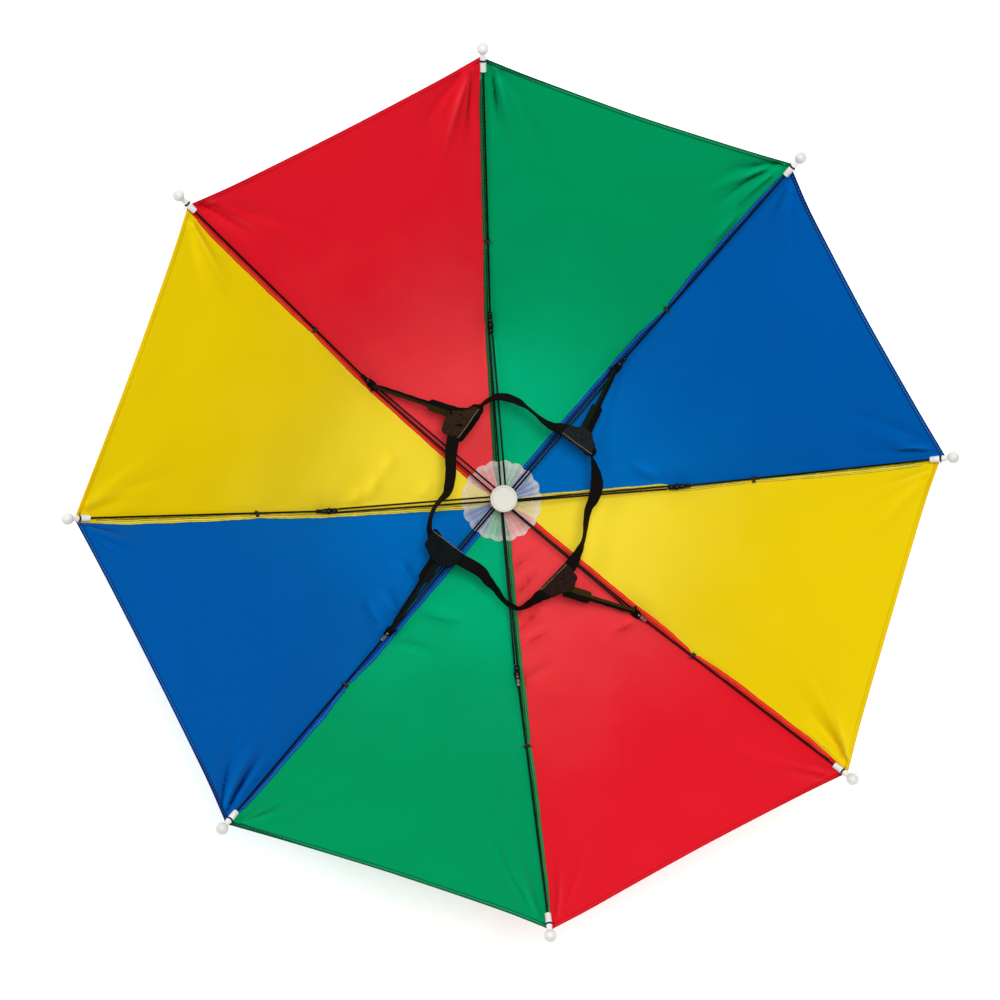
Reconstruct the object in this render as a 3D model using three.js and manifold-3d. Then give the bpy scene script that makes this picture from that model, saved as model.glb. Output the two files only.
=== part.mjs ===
// Umbrella hat, opened, lying on the flat foot of its crown cap with the mouth up.
// Millimetres, +Z up, the axis of the crown on Z, the floor at z = 0.
import * as THREE from "three";
import { mergeVertices } from "three/addons/utils/BufferGeometryUtils.js";
import Module from "manifold-3d";

const wasm = await Module();
wasm.setup();

// Clearances
const gap = 0.3;
const seamGap = 0.4;
const kneeRoom = 0.7;

// Canopy and frame
const ribCount = 8;
const firstRibDegrees = 90;
const tipRadius = 320;
const jointRadius = 131.5;
const jointHeight = 28;
const outerSlopeDegrees = 29;
const ribDiameter = 2;
const ribSides = 8;
const clothWall = 1;
const rimBow = 1.2;
const panelSag = 4;
const sagTurnDegrees = 162;
const seamOffset = 4;
const clothHoleRadius = 5.4;
const tieRadius = 185.7;

// Crown cap, rib notch and runner
const capFootRadius = 13;
const capRadius = 14.5;
const capHeight = 3.2;
const capEdge = 1.2;
const stemRadius = 4.2;
const notchBase = 7.2;
const notchHeight = 6;
const notchRadius = 9;
const notchPivotHeight = 11;
const pivotRadius = 7;
const pivotOverrun = 1.4;
const slotRoom = 0.5;
const runnerStemRadius = 3.6;
const runnerStemLength = 2.4;
const runnerCollarRadius = 8.6;
const runnerCollarHeight = 5;
const runnerPivotRise = 2.2;
const discRadius = 10.2;
const discThickness = 1.3;
const discRimHeight = 0.4;
const discRimWidth = 1.2;
const runnerTurnDegrees = 19;
const runnerShiftX = 0.7;
const runnerShiftY = 0.6;

// Rosette under the ribs
const rosetteRadius = 31;
const rosetteWall = 1;
const scallopCount = 18;
const scallopDepth = 1.7;
const pleatDepth = 0.7;

// Folding joint
const knuckleSlopeDegrees = 18;
const knuckleLength = 12.5;
const knuckleWidth = 3.8;
const knuckleHeight = 4.8;
const knuckleTaper = 1.2;
const rivetRadius = 1.2;
const rivetHead = 0.5;
const rodStack = 1.35;
const rodEndGap = 0.45;

// Tip cap
const ballRadius = 4.5;
const neckRadius = 1.9;
const neckFlareRadius = 2.3;
const neckLength = 8.2;
const grooveWidth = 1.8;
const grooveRadius = 1.9;
const sleeveLength = 7.4;
const sleeveRadius = 2.7;
const sleeveRound = 0.8;
const boreRadius = 1.35;
const boreDepth = 9;
const tipSides = 8;

// Headband, its pads and straps
const bandRadius = 70;
const bandHeight = 36;
const bandWidth = 10;
const bandWall = 1.1;
const padLength = 29;
const padDepth = 17.5;
const padWall = 4.8;
const padBevel = 0.7;
const bandInset = 6.6;
const strapWall = 1.2;
const strapTongueWidth = 9.4;
const strapTailWidth = 4.4;
const strapTongueLength = 16;
const strapStepLength = 1.6;

// Colours and finishes from the photograph
const red = finish(0xde2030, 0.62, 0);
const green = finish(0x009460, 0.62, 0);
const blue = finish(0x005ca8, 0.62, 0);
const yellow = finish(0xeace18, 0.62, 0);
const panelFinishes = [green, blue, yellow, red, green, blue, yellow, red];
const whitePlastic = finish(0xf2f0ea, 0.35, 0);
const rosetteWhite = finish(0xe8e6e0, 0.45, 0);
const blackWire = finish(0x17171a, 0.38, 0.85);
const blackElastic = finish(0x15140f, 0.85, 0);
const greyPad = finish(0x2c2c2b, 0.95, 0);

// Length of the seam's offset from the rib along the cloth, as shares of seamOffset
const seamShape = [
  { radiusShare: 0, offsetShare: 0.1 },
  { radiusShare: 0.1, offsetShare: 1 },
  { radiusShare: 0.5, offsetShare: 1 },
  { radiusShare: 0.575, offsetShare: 0.55 },
  { radiusShare: 0.595, offsetShare: 0.1 },
  { radiusShare: 0.615, offsetShare: 0.5 },
  { radiusShare: 0.7, offsetShare: 0.95 },
  { radiusShare: 0.9, offsetShare: 0.7 },
  { radiusShare: 1, offsetShare: 0.2 },
];

// Soft folds that run out of a corner: the turn from the rib, as a share of the corner's angle,
// their half width as a share of that angle, and their lift as a share of foldLift
const foldLift = 1.6;
const foldReach = 62;
const cornerFolds = [
  { turnShare: 0.3, widthShare: 0.16, liftShare: 1 },
  { turnShare: 0.62, widthShare: 0.14, liftShare: -0.7 },
  { turnShare: 0.85, widthShare: 0.1, liftShare: 0.6 },
];

// Pads of the headband: the middle of the straight inner edge, its turn from the tangent,
// the rib that its strap goes to, and where on the pad the strap starts (share of half length)
const padPlaces = [
  { name: "back_right", angleDegrees: 33, radiusShare: 0.96, turnDegrees: 17, rib: 1, strapShare: 0.1 },
  { name: "front_right", angleDegrees: -62.4, radiusShare: 0.98, turnDegrees: 13, rib: 3, strapShare: 0.35 },
  { name: "front_left", angleDegrees: -146.4, radiusShare: 0.76, turnDegrees: 15, rib: 5, strapShare: 0 },
  { name: "back_left", angleDegrees: 111.7, radiusShare: 0.87, turnDegrees: 29, rib: 7, strapShare: 0.25 },
];

// Free strands of the headband between the pads, clockwise from the right: where they pass, as
// shares of bandRadius, and the roll of the band, 0 on edge and 90 lying flat
const bandStrands = [
  [
    { angleDegrees: 8, radiusShare: 1.04, rollDegrees: 75 },
    { angleDegrees: -17, radiusShare: 0.91, rollDegrees: 35 },
    { angleDegrees: -35, radiusShare: 0.95, rollDegrees: 30 },
  ],
  [
    { angleDegrees: -84, radiusShare: 1.17, rollDegrees: 10 },
    { angleDegrees: -101, radiusShare: 0.98, rollDegrees: 25 },
    { angleDegrees: -117, radiusShare: 0.82, rollDegrees: 50 },
  ],
  [
    { angleDegrees: -166, radiusShare: 0.86, rollDegrees: 5 },
    { angleDegrees: -181, radiusShare: 0.72, rollDegrees: 30 },
    { angleDegrees: -206, radiusShare: 0.62, rollDegrees: 75 },
  ],
  [
    { angleDegrees: 88, radiusShare: 1.1, rollDegrees: 50 },
    { angleDegrees: 72, radiusShare: 1.01, rollDegrees: 40 },
    { angleDegrees: 59, radiusShare: 0.93, rollDegrees: 40 },
  ],
];

// Steps of the meshes
const panelColumns = [0.05, 0.15, 0.3, 0.5, 0.7, 0.85, 0.95];
const bandSteps = 64;
const turnSides = 24;

// Values worked out from the sizes above
const degrees = Math.PI / 180;
const ribRadius = ribDiameter / 2;
const sector = (2 * Math.PI) / ribCount;
const outerSlope = outerSlopeDegrees * degrees;
const tipHeight = jointHeight + (tipRadius - jointRadius) * Math.tan(outerSlope);
const outerLength = (tipRadius - jointRadius) / Math.cos(outerSlope);
const grooveMiddle = neckLength + grooveWidth / 2;
const sleeveStart = neckLength + grooveWidth;
const sleeveEnd = sleeveStart + sleeveLength;
const clothRadius = tipRadius - grooveMiddle * Math.cos(outerSlope);
const knuckleSlope = knuckleSlopeDegrees * degrees;
const knuckleReach = knuckleLength / 2;
const rodEndMiddle = jointHeight - knuckleReach * Math.sin(knuckleSlope);
const clothOnCap = capHeight + gap + clothWall;
const stemTop = notchBase - gap;
const notchTop = notchBase + notchHeight;
const runnerBase = notchTop + gap;
const collarBase = runnerBase + runnerStemLength;
const runnerPivotHeight = collarBase + runnerPivotRise;
const collarTop = collarBase + runnerCollarHeight;
const slotWidth = ribDiameter + 2 * gap;
const kneeLow = kneePoint(-knuckleReach);
const kneeHigh = kneePoint(knuckleReach - knuckleTaper);
const sleeveFoot = tipRadius - sleeveEnd * Math.cos(outerSlope);

// Where the cloth is carried along a rib: the cap, the joint's two lower corners, the thread tie,
// the sleeve of the tip cap and the corner, with the rows of the mesh between them
const clothStations = [
  { radius: clothHoleRadius, height: clothOnCap, rowsAfter: 0 },
  { radius: capRadius, height: clothOnCap, rowsAfter: 3 },
  { radius: kneeLow.x, height: kneeLow.z, rowsAfter: 0 },
  { radius: kneeHigh.x, height: kneeHigh.z, rowsAfter: 1 },
  { radius: tieRadius, height: underWire(tieRadius, ribRadius), rowsAfter: 3 },
  { radius: sleeveFoot, height: underWire(sleeveFoot, sleeveRadius), rowsAfter: 0 },
  { radius: clothRadius, height: underWire(clothRadius, sleeveRadius), rowsAfter: 0 },
];

// Lower corner of the joint's channel, and the room below it
function kneePoint(along) {
  const x = jointRadius + along * Math.cos(knuckleSlope) + (knuckleHeight / 2) * Math.sin(knuckleSlope);
  const z = jointHeight + along * Math.sin(knuckleSlope) - (knuckleHeight / 2) * Math.cos(knuckleSlope);
  return new THREE.Vector3(x, 0, z - kneeRoom);
}

// Height just below a round piece of the given radius on the outer rib's axis
function underWire(radius, pieceRadius) {
  const axis = jointHeight + (radius - jointRadius) * Math.tan(outerSlope);
  return axis - (pieceRadius + gap) / Math.cos(outerSlope);
}

function finish(color, roughness, metalness) {
  return new THREE.MeshStandardMaterial({ color, roughness, metalness });
}

function smooth(share) {
  const s = Math.min(1, Math.max(0, share));
  return s * s * (3 - 2 * s);
}

// Value of a table's column at a place between its rows
function tableValue(rows, place, at, column) {
  if (at <= rows[0][place]) return rows[0][column];
  for (let i = 1; i < rows.length; i += 1) {
    const low = rows[i - 1];
    const high = rows[i];
    if (at <= high[place]) {
      const share = (at - low[place]) / (high[place] - low[place]);
      return low[column] + (high[column] - low[column]) * smooth(share);
    }
  }
  return rows[rows.length - 1][column];
}

// Geometry from points and triangles, turned so that its faces point out
function closedBody(points, triangles) {
  const a = new THREE.Vector3();
  const b = new THREE.Vector3();
  const c = new THREE.Vector3();
  let volume = 0;
  for (const [i, j, k] of triangles) {
    a.copy(points[i]);
    b.copy(points[j]);
    c.copy(points[k]);
    volume += a.dot(b.cross(c));
  }
  const order = volume > 0 ? triangles : triangles.map(([i, j, k]) => [i, k, j]);
  const geometry = new THREE.BufferGeometry().setFromPoints(points);
  geometry.setIndex(order.flat());
  geometry.computeVertexNormals();
  return geometry;
}

// Closed wall between two grids of points, which may close on itself across its columns
function closedWall(upper, lower, wraps) {
  const rows = upper.length;
  const columns = upper[0].length;
  const points = [...upper.flat(), ...lower.flat()];
  const under = rows * columns;
  const triangles = [];
  const at = (r, c) => r * columns + (c % columns);
  const quad = (i, j, k, l) => triangles.push([i, j, k], [i, k, l]);
  const lastColumn = wraps ? columns : columns - 1;
  for (let r = 0; r < rows - 1; r += 1) {
    for (let c = 0; c < lastColumn; c += 1) {
      quad(at(r, c), at(r + 1, c), at(r + 1, c + 1), at(r, c + 1));
      quad(under + at(r, c), under + at(r, c + 1), under + at(r + 1, c + 1), under + at(r + 1, c));
    }
  }
  for (let c = 0; c < lastColumn; c += 1) {
    quad(at(0, c), at(0, c + 1), under + at(0, c + 1), under + at(0, c));
    const r = rows - 1;
    quad(at(r, c), under + at(r, c), under + at(r, c + 1), at(r, c + 1));
  }
  if (!wraps) {
    const last = columns - 1;
    for (let r = 0; r < rows - 1; r += 1) {
      quad(at(r, 0), under + at(r, 0), under + at(r + 1, 0), at(r + 1, 0));
      quad(at(r, last), at(r + 1, last), under + at(r + 1, last), under + at(r, last));
    }
  }
  return closedBody(points, triangles);
}

// Solid swept through four-cornered sections, closed on itself or with flat ends
function sweptStrip(sections, loops) {
  const points = sections.flat();
  const triangles = [];
  const count = sections.length;
  const last = loops ? count : count - 1;
  for (let s = 0; s < last; s += 1) {
    for (let k = 0; k < 4; k += 1) {
      const a = 4 * s + k;
      const b = 4 * s + ((k + 1) % 4);
      const c = 4 * ((s + 1) % count) + k;
      const d = 4 * ((s + 1) % count) + ((k + 1) % 4);
      triangles.push([a, b, d], [a, d, c]);
    }
  }
  if (!loops) {
    const e = 4 * (count - 1);
    triangles.push([0, 2, 1], [0, 3, 2], [e, e + 1, e + 2], [e, e + 2, e + 3]);
  }
  return closedBody(points, triangles);
}

function turned(profile, sides) {
  const outline = profile.map(([radius, height]) => new THREE.Vector2(radius, height));
  const geometry = new THREE.LatheGeometry(outline, sides);
  geometry.rotateX(Math.PI / 2);
  return geometry;
}

function toManifold(geometry) {
  const bare = geometry.clone();
  for (const name of Object.keys(bare.attributes)) {
    if (name !== "position") bare.deleteAttribute(name);
  }
  const merged = mergeVertices(bare, 1e-4);
  const index = Array.from(merged.index.array);
  const kept = [];
  for (let i = 0; i < index.length; i += 3) {
    const [a, b, c] = index.slice(i, i + 3);
    if (a !== b && b !== c && a !== c) kept.push(a, b, c);
  }
  return new wasm.Manifold(new wasm.Mesh({
    numProp: 3,
    vertProperties: new Float32Array(merged.attributes.position.array),
    triVerts: new Uint32Array(kept),
  }));
}

function fromManifold(solid) {
  const mesh = solid.getMesh();
  const geometry = new THREE.BufferGeometry();
  geometry.setAttribute("position", new THREE.BufferAttribute(mesh.vertProperties, 3));
  geometry.setIndex(new THREE.BufferAttribute(mesh.triVerts, 1));
  geometry.computeVertexNormals();
  return geometry;
}

function withCuts(body, cutters) {
  const rest = cutters.reduce((solid, cutter) => solid.subtract(toManifold(cutter)), toManifold(body));
  return fromManifold(rest);
}

function joined(pieces) {
  const whole = pieces.slice(1).reduce((solid, piece) => solid.add(toManifold(piece)), toManifold(pieces[0]));
  return fromManifold(whole);
}

function piece(name, geometry, material) {
  const mesh = new THREE.Mesh(geometry, material);
  mesh.name = name;
  return mesh;
}

function ribAngle(rib) {
  return firstRibDegrees * degrees - rib * sector;
}

function onRib(rib, radius, height) {
  const angle = ribAngle(rib);
  return new THREE.Vector3(radius * Math.cos(angle), radius * Math.sin(angle), height);
}

function polar(angleDegrees, radius, height) {
  const angle = angleDegrees * degrees;
  return new THREE.Vector3(radius * Math.cos(angle), radius * Math.sin(angle), height);
}

// Straight round wire between two points
function wire(name, from, to, material) {
  const along = to.clone().sub(from);
  const mesh = piece(name, new THREE.CylinderGeometry(ribRadius, ribRadius, along.length(), ribSides), material);
  mesh.position.copy(from).addScaledVector(along, 0.5);
  mesh.quaternion.setFromUnitVectors(new THREE.Vector3(0, 1, 0), along.normalize());
  return mesh;
}

// Height of the cloth's inner face along a rib, straight between the places that carry it
function clothHeight(radius) {
  const last = clothStations.length - 1;
  let high = 1;
  while (high < last && radius > clothStations[high].radius) high += 1;
  const from = clothStations[high - 1];
  const to = clothStations[high];
  const share = (radius - from.radius) / (to.radius - from.radius);
  return from.height + (to.height - from.height) * share;
}

function clothSlope(radius) {
  const step = 0.5;
  return Math.atan((clothHeight(radius + step) - clothHeight(radius - step)) / (2 * step));
}

// How far a panel's middle stands off the straight line between its ribs
function sagAt(radius) {
  const reach = radius / clothRadius;
  return panelSag * smooth(2 * reach) * Math.sin(sagTurnDegrees * degrees * reach);
}

function seamAt(radius) {
  return seamOffset * tableValue(seamShape, "radiusShare", radius / clothRadius, "offsetShare");
}

// Lift of the soft folds around one corner, by the run along the rim side and down the rib
function foldAt(alongSide, downRib) {
  const cornerAngle = (Math.PI - sector) / 2;
  const distance = Math.hypot(alongSide, downRib);
  if (distance < 1e-6 || distance > foldReach) return 0;
  const turn = Math.atan2(alongSide, downRib) / cornerAngle;
  const fade = Math.sin((Math.PI * distance) / foldReach) * (1 - distance / foldReach);
  let lift = 0;
  for (const fold of cornerFolds) {
    const away = (turn - fold.turnShare) / fold.widthShare;
    lift += fold.liftShare * Math.exp(-away * away);
  }
  return foldLift * fade * lift;
}

// Point on the cloth's inner face: a run from the rib along the eight-sided outline, positive
// to the clockwise side, at the outline whose corner has the given radius
function clothPoint(radius, run, side) {
  const share = Math.abs(run) / side;
  const arch = 4 * share * (1 - share);
  const corner = radius - rimBow * arch * (radius / clothRadius) ** 6;
  const half = sector / 2;
  const turn = run >= 0 ? -1 : 1;
  const scale = corner / radius;
  const along = Math.abs(run) * scale;
  const x = corner - along * Math.sin(half);
  const y = turn * along * Math.cos(half);
  const slope = clothSlope(corner);
  const sag = arch * sagAt(radius);
  const nearCorner = foldAt(Math.abs(run), (clothRadius - radius) / Math.cos(outerSlope));
  const farCorner = foldAt(side - Math.abs(run), (clothRadius - radius) / Math.cos(outerSlope));
  const lift = sag + nearCorner + farCorner;
  const inward = new THREE.Vector3(-Math.cos(half), turn * Math.sin(half), 0);
  const point = new THREE.Vector3(x, y, clothHeight(corner) + lift * Math.cos(slope));
  return point.addScaledVector(inward, lift * Math.sin(slope));
}

function clothRows() {
  const rows = [clothStations[0].radius];
  for (let i = 1; i < clothStations.length; i += 1) {
    const from = clothStations[i - 1];
    const steps = from.rowsAfter + 1;
    for (let step = 1; step <= steps; step += 1) {
      rows.push(from.radius + ((clothStations[i].radius - from.radius) * step) / steps);
    }
  }
  return rows;
}

function panelGeometry() {
  const upper = [];
  const lower = [];
  for (const radius of clothRows()) {
    const side = 2 * radius * Math.sin(sector / 2);
    const seam = Math.min(seamAt(radius), side / 3);
    const runs = [-seam + seamGap / 2, 0];
    for (const share of panelColumns) runs.push(share * (side - seam));
    runs.push(side - seam - seamGap / 2);
    const topRow = runs.map((run) => clothPoint(radius, run, side));
    const drop = clothWall / Math.cos(clothSlope(radius));
    upper.push(topRow);
    lower.push(topRow.map((point) => point.clone().setZ(point.z - drop)));
  }
  return closedWall(upper, lower, false);
}

function panels(group) {
  for (let rib = 0; rib < ribCount; rib += 1) {
    const mesh = piece(`canopy_panel_${rib + 1}`, panelGeometry(), panelFinishes[rib % panelFinishes.length]);
    mesh.rotation.z = ribAngle(rib);
    group.add(mesh);
  }
}

function topCap() {
  const profile = [
    [0, 0],
    [capFootRadius, 0],
    [capRadius, capEdge],
    [capRadius, capHeight - capEdge / 2],
    [capRadius - capEdge / 2, capHeight],
    [stemRadius, capHeight],
    [stemRadius, stemTop],
    [0, stemTop],
  ];
  return piece("crown_cap", turned(profile, turnSides), whitePlastic);
}

// Pleated round of thin stuff over the middle of the cloth, with a scalloped edge
function rosette() {
  const steps = scallopCount * 4;
  const inner = stemRadius + 2 * gap;
  const shares = [0, 0.35, 0.7, 1];
  const upper = [];
  const lower = [];
  for (const share of shares) {
    const topRow = [];
    const bottomRow = [];
    for (let step = 0; step < steps; step += 1) {
      const angle = (2 * Math.PI * step) / steps;
      const wave = 0.5 + 0.5 * Math.cos(scallopCount * angle);
      const edge = rosetteRadius - scallopDepth * (1 - Math.sqrt(wave));
      const radius = inner + (edge - inner) * share;
      const outline = radius / Math.cos(sector / 2);
      const base = clothHeight(outline) + sagAt(outline) + gap;
      const z = base + pleatDepth * wave * share;
      bottomRow.push(new THREE.Vector3(radius * Math.cos(angle), radius * Math.sin(angle), z));
      topRow.push(new THREE.Vector3(radius * Math.cos(angle), radius * Math.sin(angle), z + rosetteWall));
    }
    upper.push(topRow);
    lower.push(bottomRow);
  }
  return piece("crown_rosette", closedWall(upper, lower, true), rosetteWhite);
}

// Box that cuts a wire's slot, along a wire from its inner end outward
function slotCutter(start, end, low, high) {
  const length = end.distanceTo(start);
  const box = new THREE.BoxGeometry(length, slotWidth, high - low);
  box.translate(length / 2, 0, (high + low) / 2);
  box.rotateZ(Math.atan2(end.y - start.y, end.x - start.x));
  box.translate(start.x, start.y, 0);
  return box;
}

function flat(vector) {
  return new THREE.Vector3(vector.x, vector.y, 0);
}

// Point where a rod of the frame ends, just short of the joint's inner face
function rodEnd(rib, height) {
  const rise = (height - jointHeight) * Math.sin(knuckleSlope);
  const radius = jointRadius - (knuckleReach + rodEndGap + rise) / Math.cos(knuckleSlope);
  return onRib(rib, radius, height);
}

// Both ends of a rod whose inner eye overruns its pivot
function rodEnds(pivot, end) {
  const along = end.clone().sub(pivot).normalize();
  return [pivot.clone().addScaledVector(along, -pivotOverrun), end];
}

function innerRibEnds(rib) {
  return rodEnds(onRib(rib, pivotRadius, notchPivotHeight), rodEnd(rib, rodEndMiddle - rodStack));
}

function stretcherEnds(rib) {
  const angle = ribAngle(rib) - runnerTurnDegrees * degrees;
  const x = runnerShiftX + pivotRadius * Math.cos(angle);
  const y = runnerShiftY + pivotRadius * Math.sin(angle);
  return rodEnds(new THREE.Vector3(x, y, runnerPivotHeight), rodEnd(rib, rodEndMiddle + rodStack));
}

function notch() {
  const bore = pivotRadius - pivotOverrun - gap;
  const profile = [
    [0, notchBase],
    [notchRadius, notchBase],
    [notchRadius, notchTop],
    [0, notchTop],
  ];
  const cutters = [];
  for (let rib = 0; rib < ribCount; rib += 1) {
    const floor = innerRibEnds(rib)[0].z - ribRadius - slotRoom;
    cutters.push(slotCutter(onRib(rib, bore, 0), onRib(rib, 2 * notchRadius, 0), floor, 2 * notchTop));
  }
  return piece("rib_notch", withCuts(turned(profile, turnSides), cutters), whitePlastic);
}

function runner() {
  const profile = [
    [0, runnerBase],
    [runnerStemRadius, runnerBase],
    [runnerStemRadius, collarBase],
    [runnerCollarRadius, collarBase],
    [runnerCollarRadius, collarTop],
    [discRadius, collarTop],
    [discRadius, collarTop + discThickness],
    [discRadius - discRimWidth / 2, collarTop + discThickness + discRimHeight],
    [discRadius - discRimWidth, collarTop + discThickness],
    [0, collarTop + discThickness],
  ];
  const shift = new THREE.Vector3(runnerShiftX, runnerShiftY, 0);
  const cutters = [];
  for (let rib = 0; rib < ribCount; rib += 1) {
    const [start, end] = stretcherEnds(rib);
    const from = flat(start).sub(shift);
    const along = flat(end).sub(shift).sub(from).normalize();
    const inner = from.clone().addScaledVector(along, -gap);
    const outer = from.clone().addScaledVector(along, 2 * runnerCollarRadius);
    const roof = runnerPivotHeight + ribRadius + slotRoom + gap;
    cutters.push(slotCutter(inner, outer, collarBase - slotRoom, roof));
  }
  const mesh = piece("runner_disc", withCuts(turned(profile, turnSides), cutters), whitePlastic);
  mesh.position.copy(shift);
  return mesh;
}

function innerRibs(group) {
  for (let rib = 0; rib < ribCount; rib += 1) {
    const [start, end] = innerRibEnds(rib);
    group.add(wire(`inner_rib_${rib + 1}`, start, end, blackWire));
  }
}

function stretchers(group) {
  for (let rib = 0; rib < ribCount; rib += 1) {
    const [start, end] = stretcherEnds(rib);
    group.add(wire(`stretcher_${rib + 1}`, start, end, blackWire));
  }
}

// Outer wire with the folding joint's crimped channel and rivet on its inner end, along X
function outerRibGeometry() {
  const length = outerLength - sleeveStart - sleeveLength + boreDepth - gap;
  const rod = new THREE.CylinderGeometry(ribRadius, ribRadius, length, ribSides);
  rod.rotateZ(-Math.PI / 2);
  rod.translate(length / 2, 0, 0);
  rod.rotateY(-outerSlope);
  const half = knuckleHeight / 2;
  const outline = new THREE.Shape();
  outline.moveTo(-knuckleReach, -half);
  outline.lineTo(knuckleReach - knuckleTaper, -half);
  outline.lineTo(knuckleReach, -half + knuckleTaper);
  outline.lineTo(knuckleReach, half - knuckleTaper);
  outline.lineTo(knuckleReach - knuckleTaper, half);
  outline.lineTo(-knuckleReach, half);
  outline.closePath();
  const channel = new THREE.ExtrudeGeometry(outline, { depth: knuckleWidth, bevelEnabled: false });
  channel.translate(0, 0, -knuckleWidth / 2);
  channel.rotateX(Math.PI / 2);
  channel.rotateY(-knuckleSlope);
  const rivet = new THREE.CylinderGeometry(rivetRadius, rivetRadius, knuckleWidth + 2 * rivetHead, 8);
  return joined([channel, rod, rivet]);
}

function outerRibs(group) {
  for (let rib = 0; rib < ribCount; rib += 1) {
    const mesh = piece(`outer_rib_${rib + 1}`, outerRibGeometry(), blackWire);
    mesh.position.copy(onRib(rib, jointRadius, jointHeight));
    mesh.rotation.z = ribAngle(rib);
    group.add(mesh);
  }
}

// Tip cap on its own axis, the ball's middle at zero and the sleeve below
function tipCapGeometry() {
  const profile = [[0, ballRadius]];
  const ballSteps = 5;
  const neckTurn = Math.PI - Math.asin(neckRadius / ballRadius);
  for (let step = 1; step <= ballSteps; step += 1) {
    const turn = (neckTurn * step) / ballSteps;
    profile.push([ballRadius * Math.sin(turn), ballRadius * Math.cos(turn)]);
  }
  profile.push([neckFlareRadius, -neckLength]);
  profile.push([grooveRadius, -neckLength - grooveWidth * 0.2]);
  profile.push([grooveRadius, -sleeveStart]);
  profile.push([sleeveRadius, -sleeveStart]);
  profile.push([sleeveRadius, -sleeveEnd + sleeveRound]);
  profile.push([sleeveRadius - sleeveRound, -sleeveEnd]);
  profile.push([boreRadius, -sleeveEnd]);
  profile.push([boreRadius, -sleeveEnd + boreDepth]);
  profile.push([0, -sleeveEnd + boreDepth]);
  return turned(profile.reverse(), tipSides);
}

function tipCaps(group) {
  for (let rib = 0; rib < ribCount; rib += 1) {
    const geometry = tipCapGeometry();
    geometry.rotateY(Math.PI / 2 - outerSlope);
    const mesh = piece(`tip_cap_${rib + 1}`, geometry, whitePlastic);
    mesh.position.copy(onRib(rib, tipRadius, tipHeight));
    mesh.rotation.z = ribAngle(rib);
    group.add(mesh);
  }
}

// Place of a pad: the middle of its inner edge, the way out of the ring and the way along it
function padFrame(place) {
  const middle = polar(place.angleDegrees, bandRadius * place.radiusShare, bandHeight);
  const out = polar(place.angleDegrees + place.turnDegrees, 1, 0);
  const along = new THREE.Vector3(-out.y, out.x, 0);
  return { middle, out, along };
}

// Points and rolls that the headband passes, clockwise, as one table
function bandStops() {
  const stops = [];
  padPlaces.forEach((place, index) => {
    const { middle, out, along } = padFrame(place);
    for (const share of [0.42, 0, -0.42]) {
      const point = middle.clone().addScaledVector(out, bandInset).addScaledVector(along, share * padLength);
      stops.push({ point, roll: 90 });
    }
    for (const row of bandStrands[index]) {
      stops.push({ point: polar(row.angleDegrees, bandRadius * row.radiusShare, bandHeight), roll: row.rollDegrees });
    }
  });
  return stops;
}

function bandGeometry(width, wall) {
  const stops = bandStops();
  const curve = new THREE.CatmullRomCurve3(stops.map((stop) => stop.point), true, "centripetal");
  const sections = [];
  for (let step = 0; step < bandSteps; step += 1) {
    const place = (step / bandSteps) * stops.length;
    const low = Math.floor(place);
    const share = smooth(place - low);
    const roll = (stops[low].roll + (stops[(low + 1) % stops.length].roll - stops[low].roll) * share) * degrees;
    const centre = curve.getPoint(step / bandSteps);
    const tangent = curve.getTangent(step / bandSteps);
    const side = new THREE.Vector3(tangent.y, -tangent.x, 0).normalize();
    const across = new THREE.Vector3(0, 0, Math.cos(roll)).addScaledVector(side, Math.sin(roll));
    const thick = new THREE.Vector3().crossVectors(tangent, across).normalize();
    sections.push([[1, 1], [1, -1], [-1, -1], [-1, 1]].map(([a, b]) => centre.clone()
      .addScaledVector(across, (a * width) / 2)
      .addScaledVector(thick, (b * wall) / 2)));
  }
  return sweptStrip(sections, true);
}

// Slab of a pad: straight along its inner edge and round outside, grown all round by an amount
function padSlab(place, grown) {
  const { middle, out, along } = padFrame(place);
  const half = padLength / 2 - padBevel + grown;
  const inner = padBevel - grown;
  const shoulder = bandInset - padBevel;
  const outline = new THREE.Shape();
  outline.moveTo(-half, inner);
  outline.lineTo(half, inner);
  outline.lineTo(half, shoulder);
  outline.absellipse(0, shoulder, half, padDepth - padBevel - shoulder + grown, 0, Math.PI, false, 0);
  outline.closePath();
  const slab = new THREE.ExtrudeGeometry(outline, {
    depth: padWall - 2 * padBevel + 2 * grown,
    bevelThickness: padBevel,
    bevelSize: padBevel,
    bevelSegments: 1,
    curveSegments: 10,
  });
  slab.translate(0, 0, -padWall / 2 + padBevel - grown);
  const frame = new THREE.Matrix4().makeBasis(along.clone().negate(), out, new THREE.Vector3(0, 0, 1));
  frame.setPosition(middle);
  return slab.applyMatrix4(frame);
}

// Folded pad with the band's tunnel through it
function padGeometry(place) {
  return withCuts(padSlab(place, 0), [bandGeometry(bandWidth + 2 * gap, bandWall + 2 * gap)]);
}

function headband(group) {
  group.add(piece("headband", bandGeometry(bandWidth, bandWall), blackElastic));
  for (const place of padPlaces) {
    group.add(piece(`band_pad_${place.name}`, padGeometry(place), greyPad));
  }
}

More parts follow.
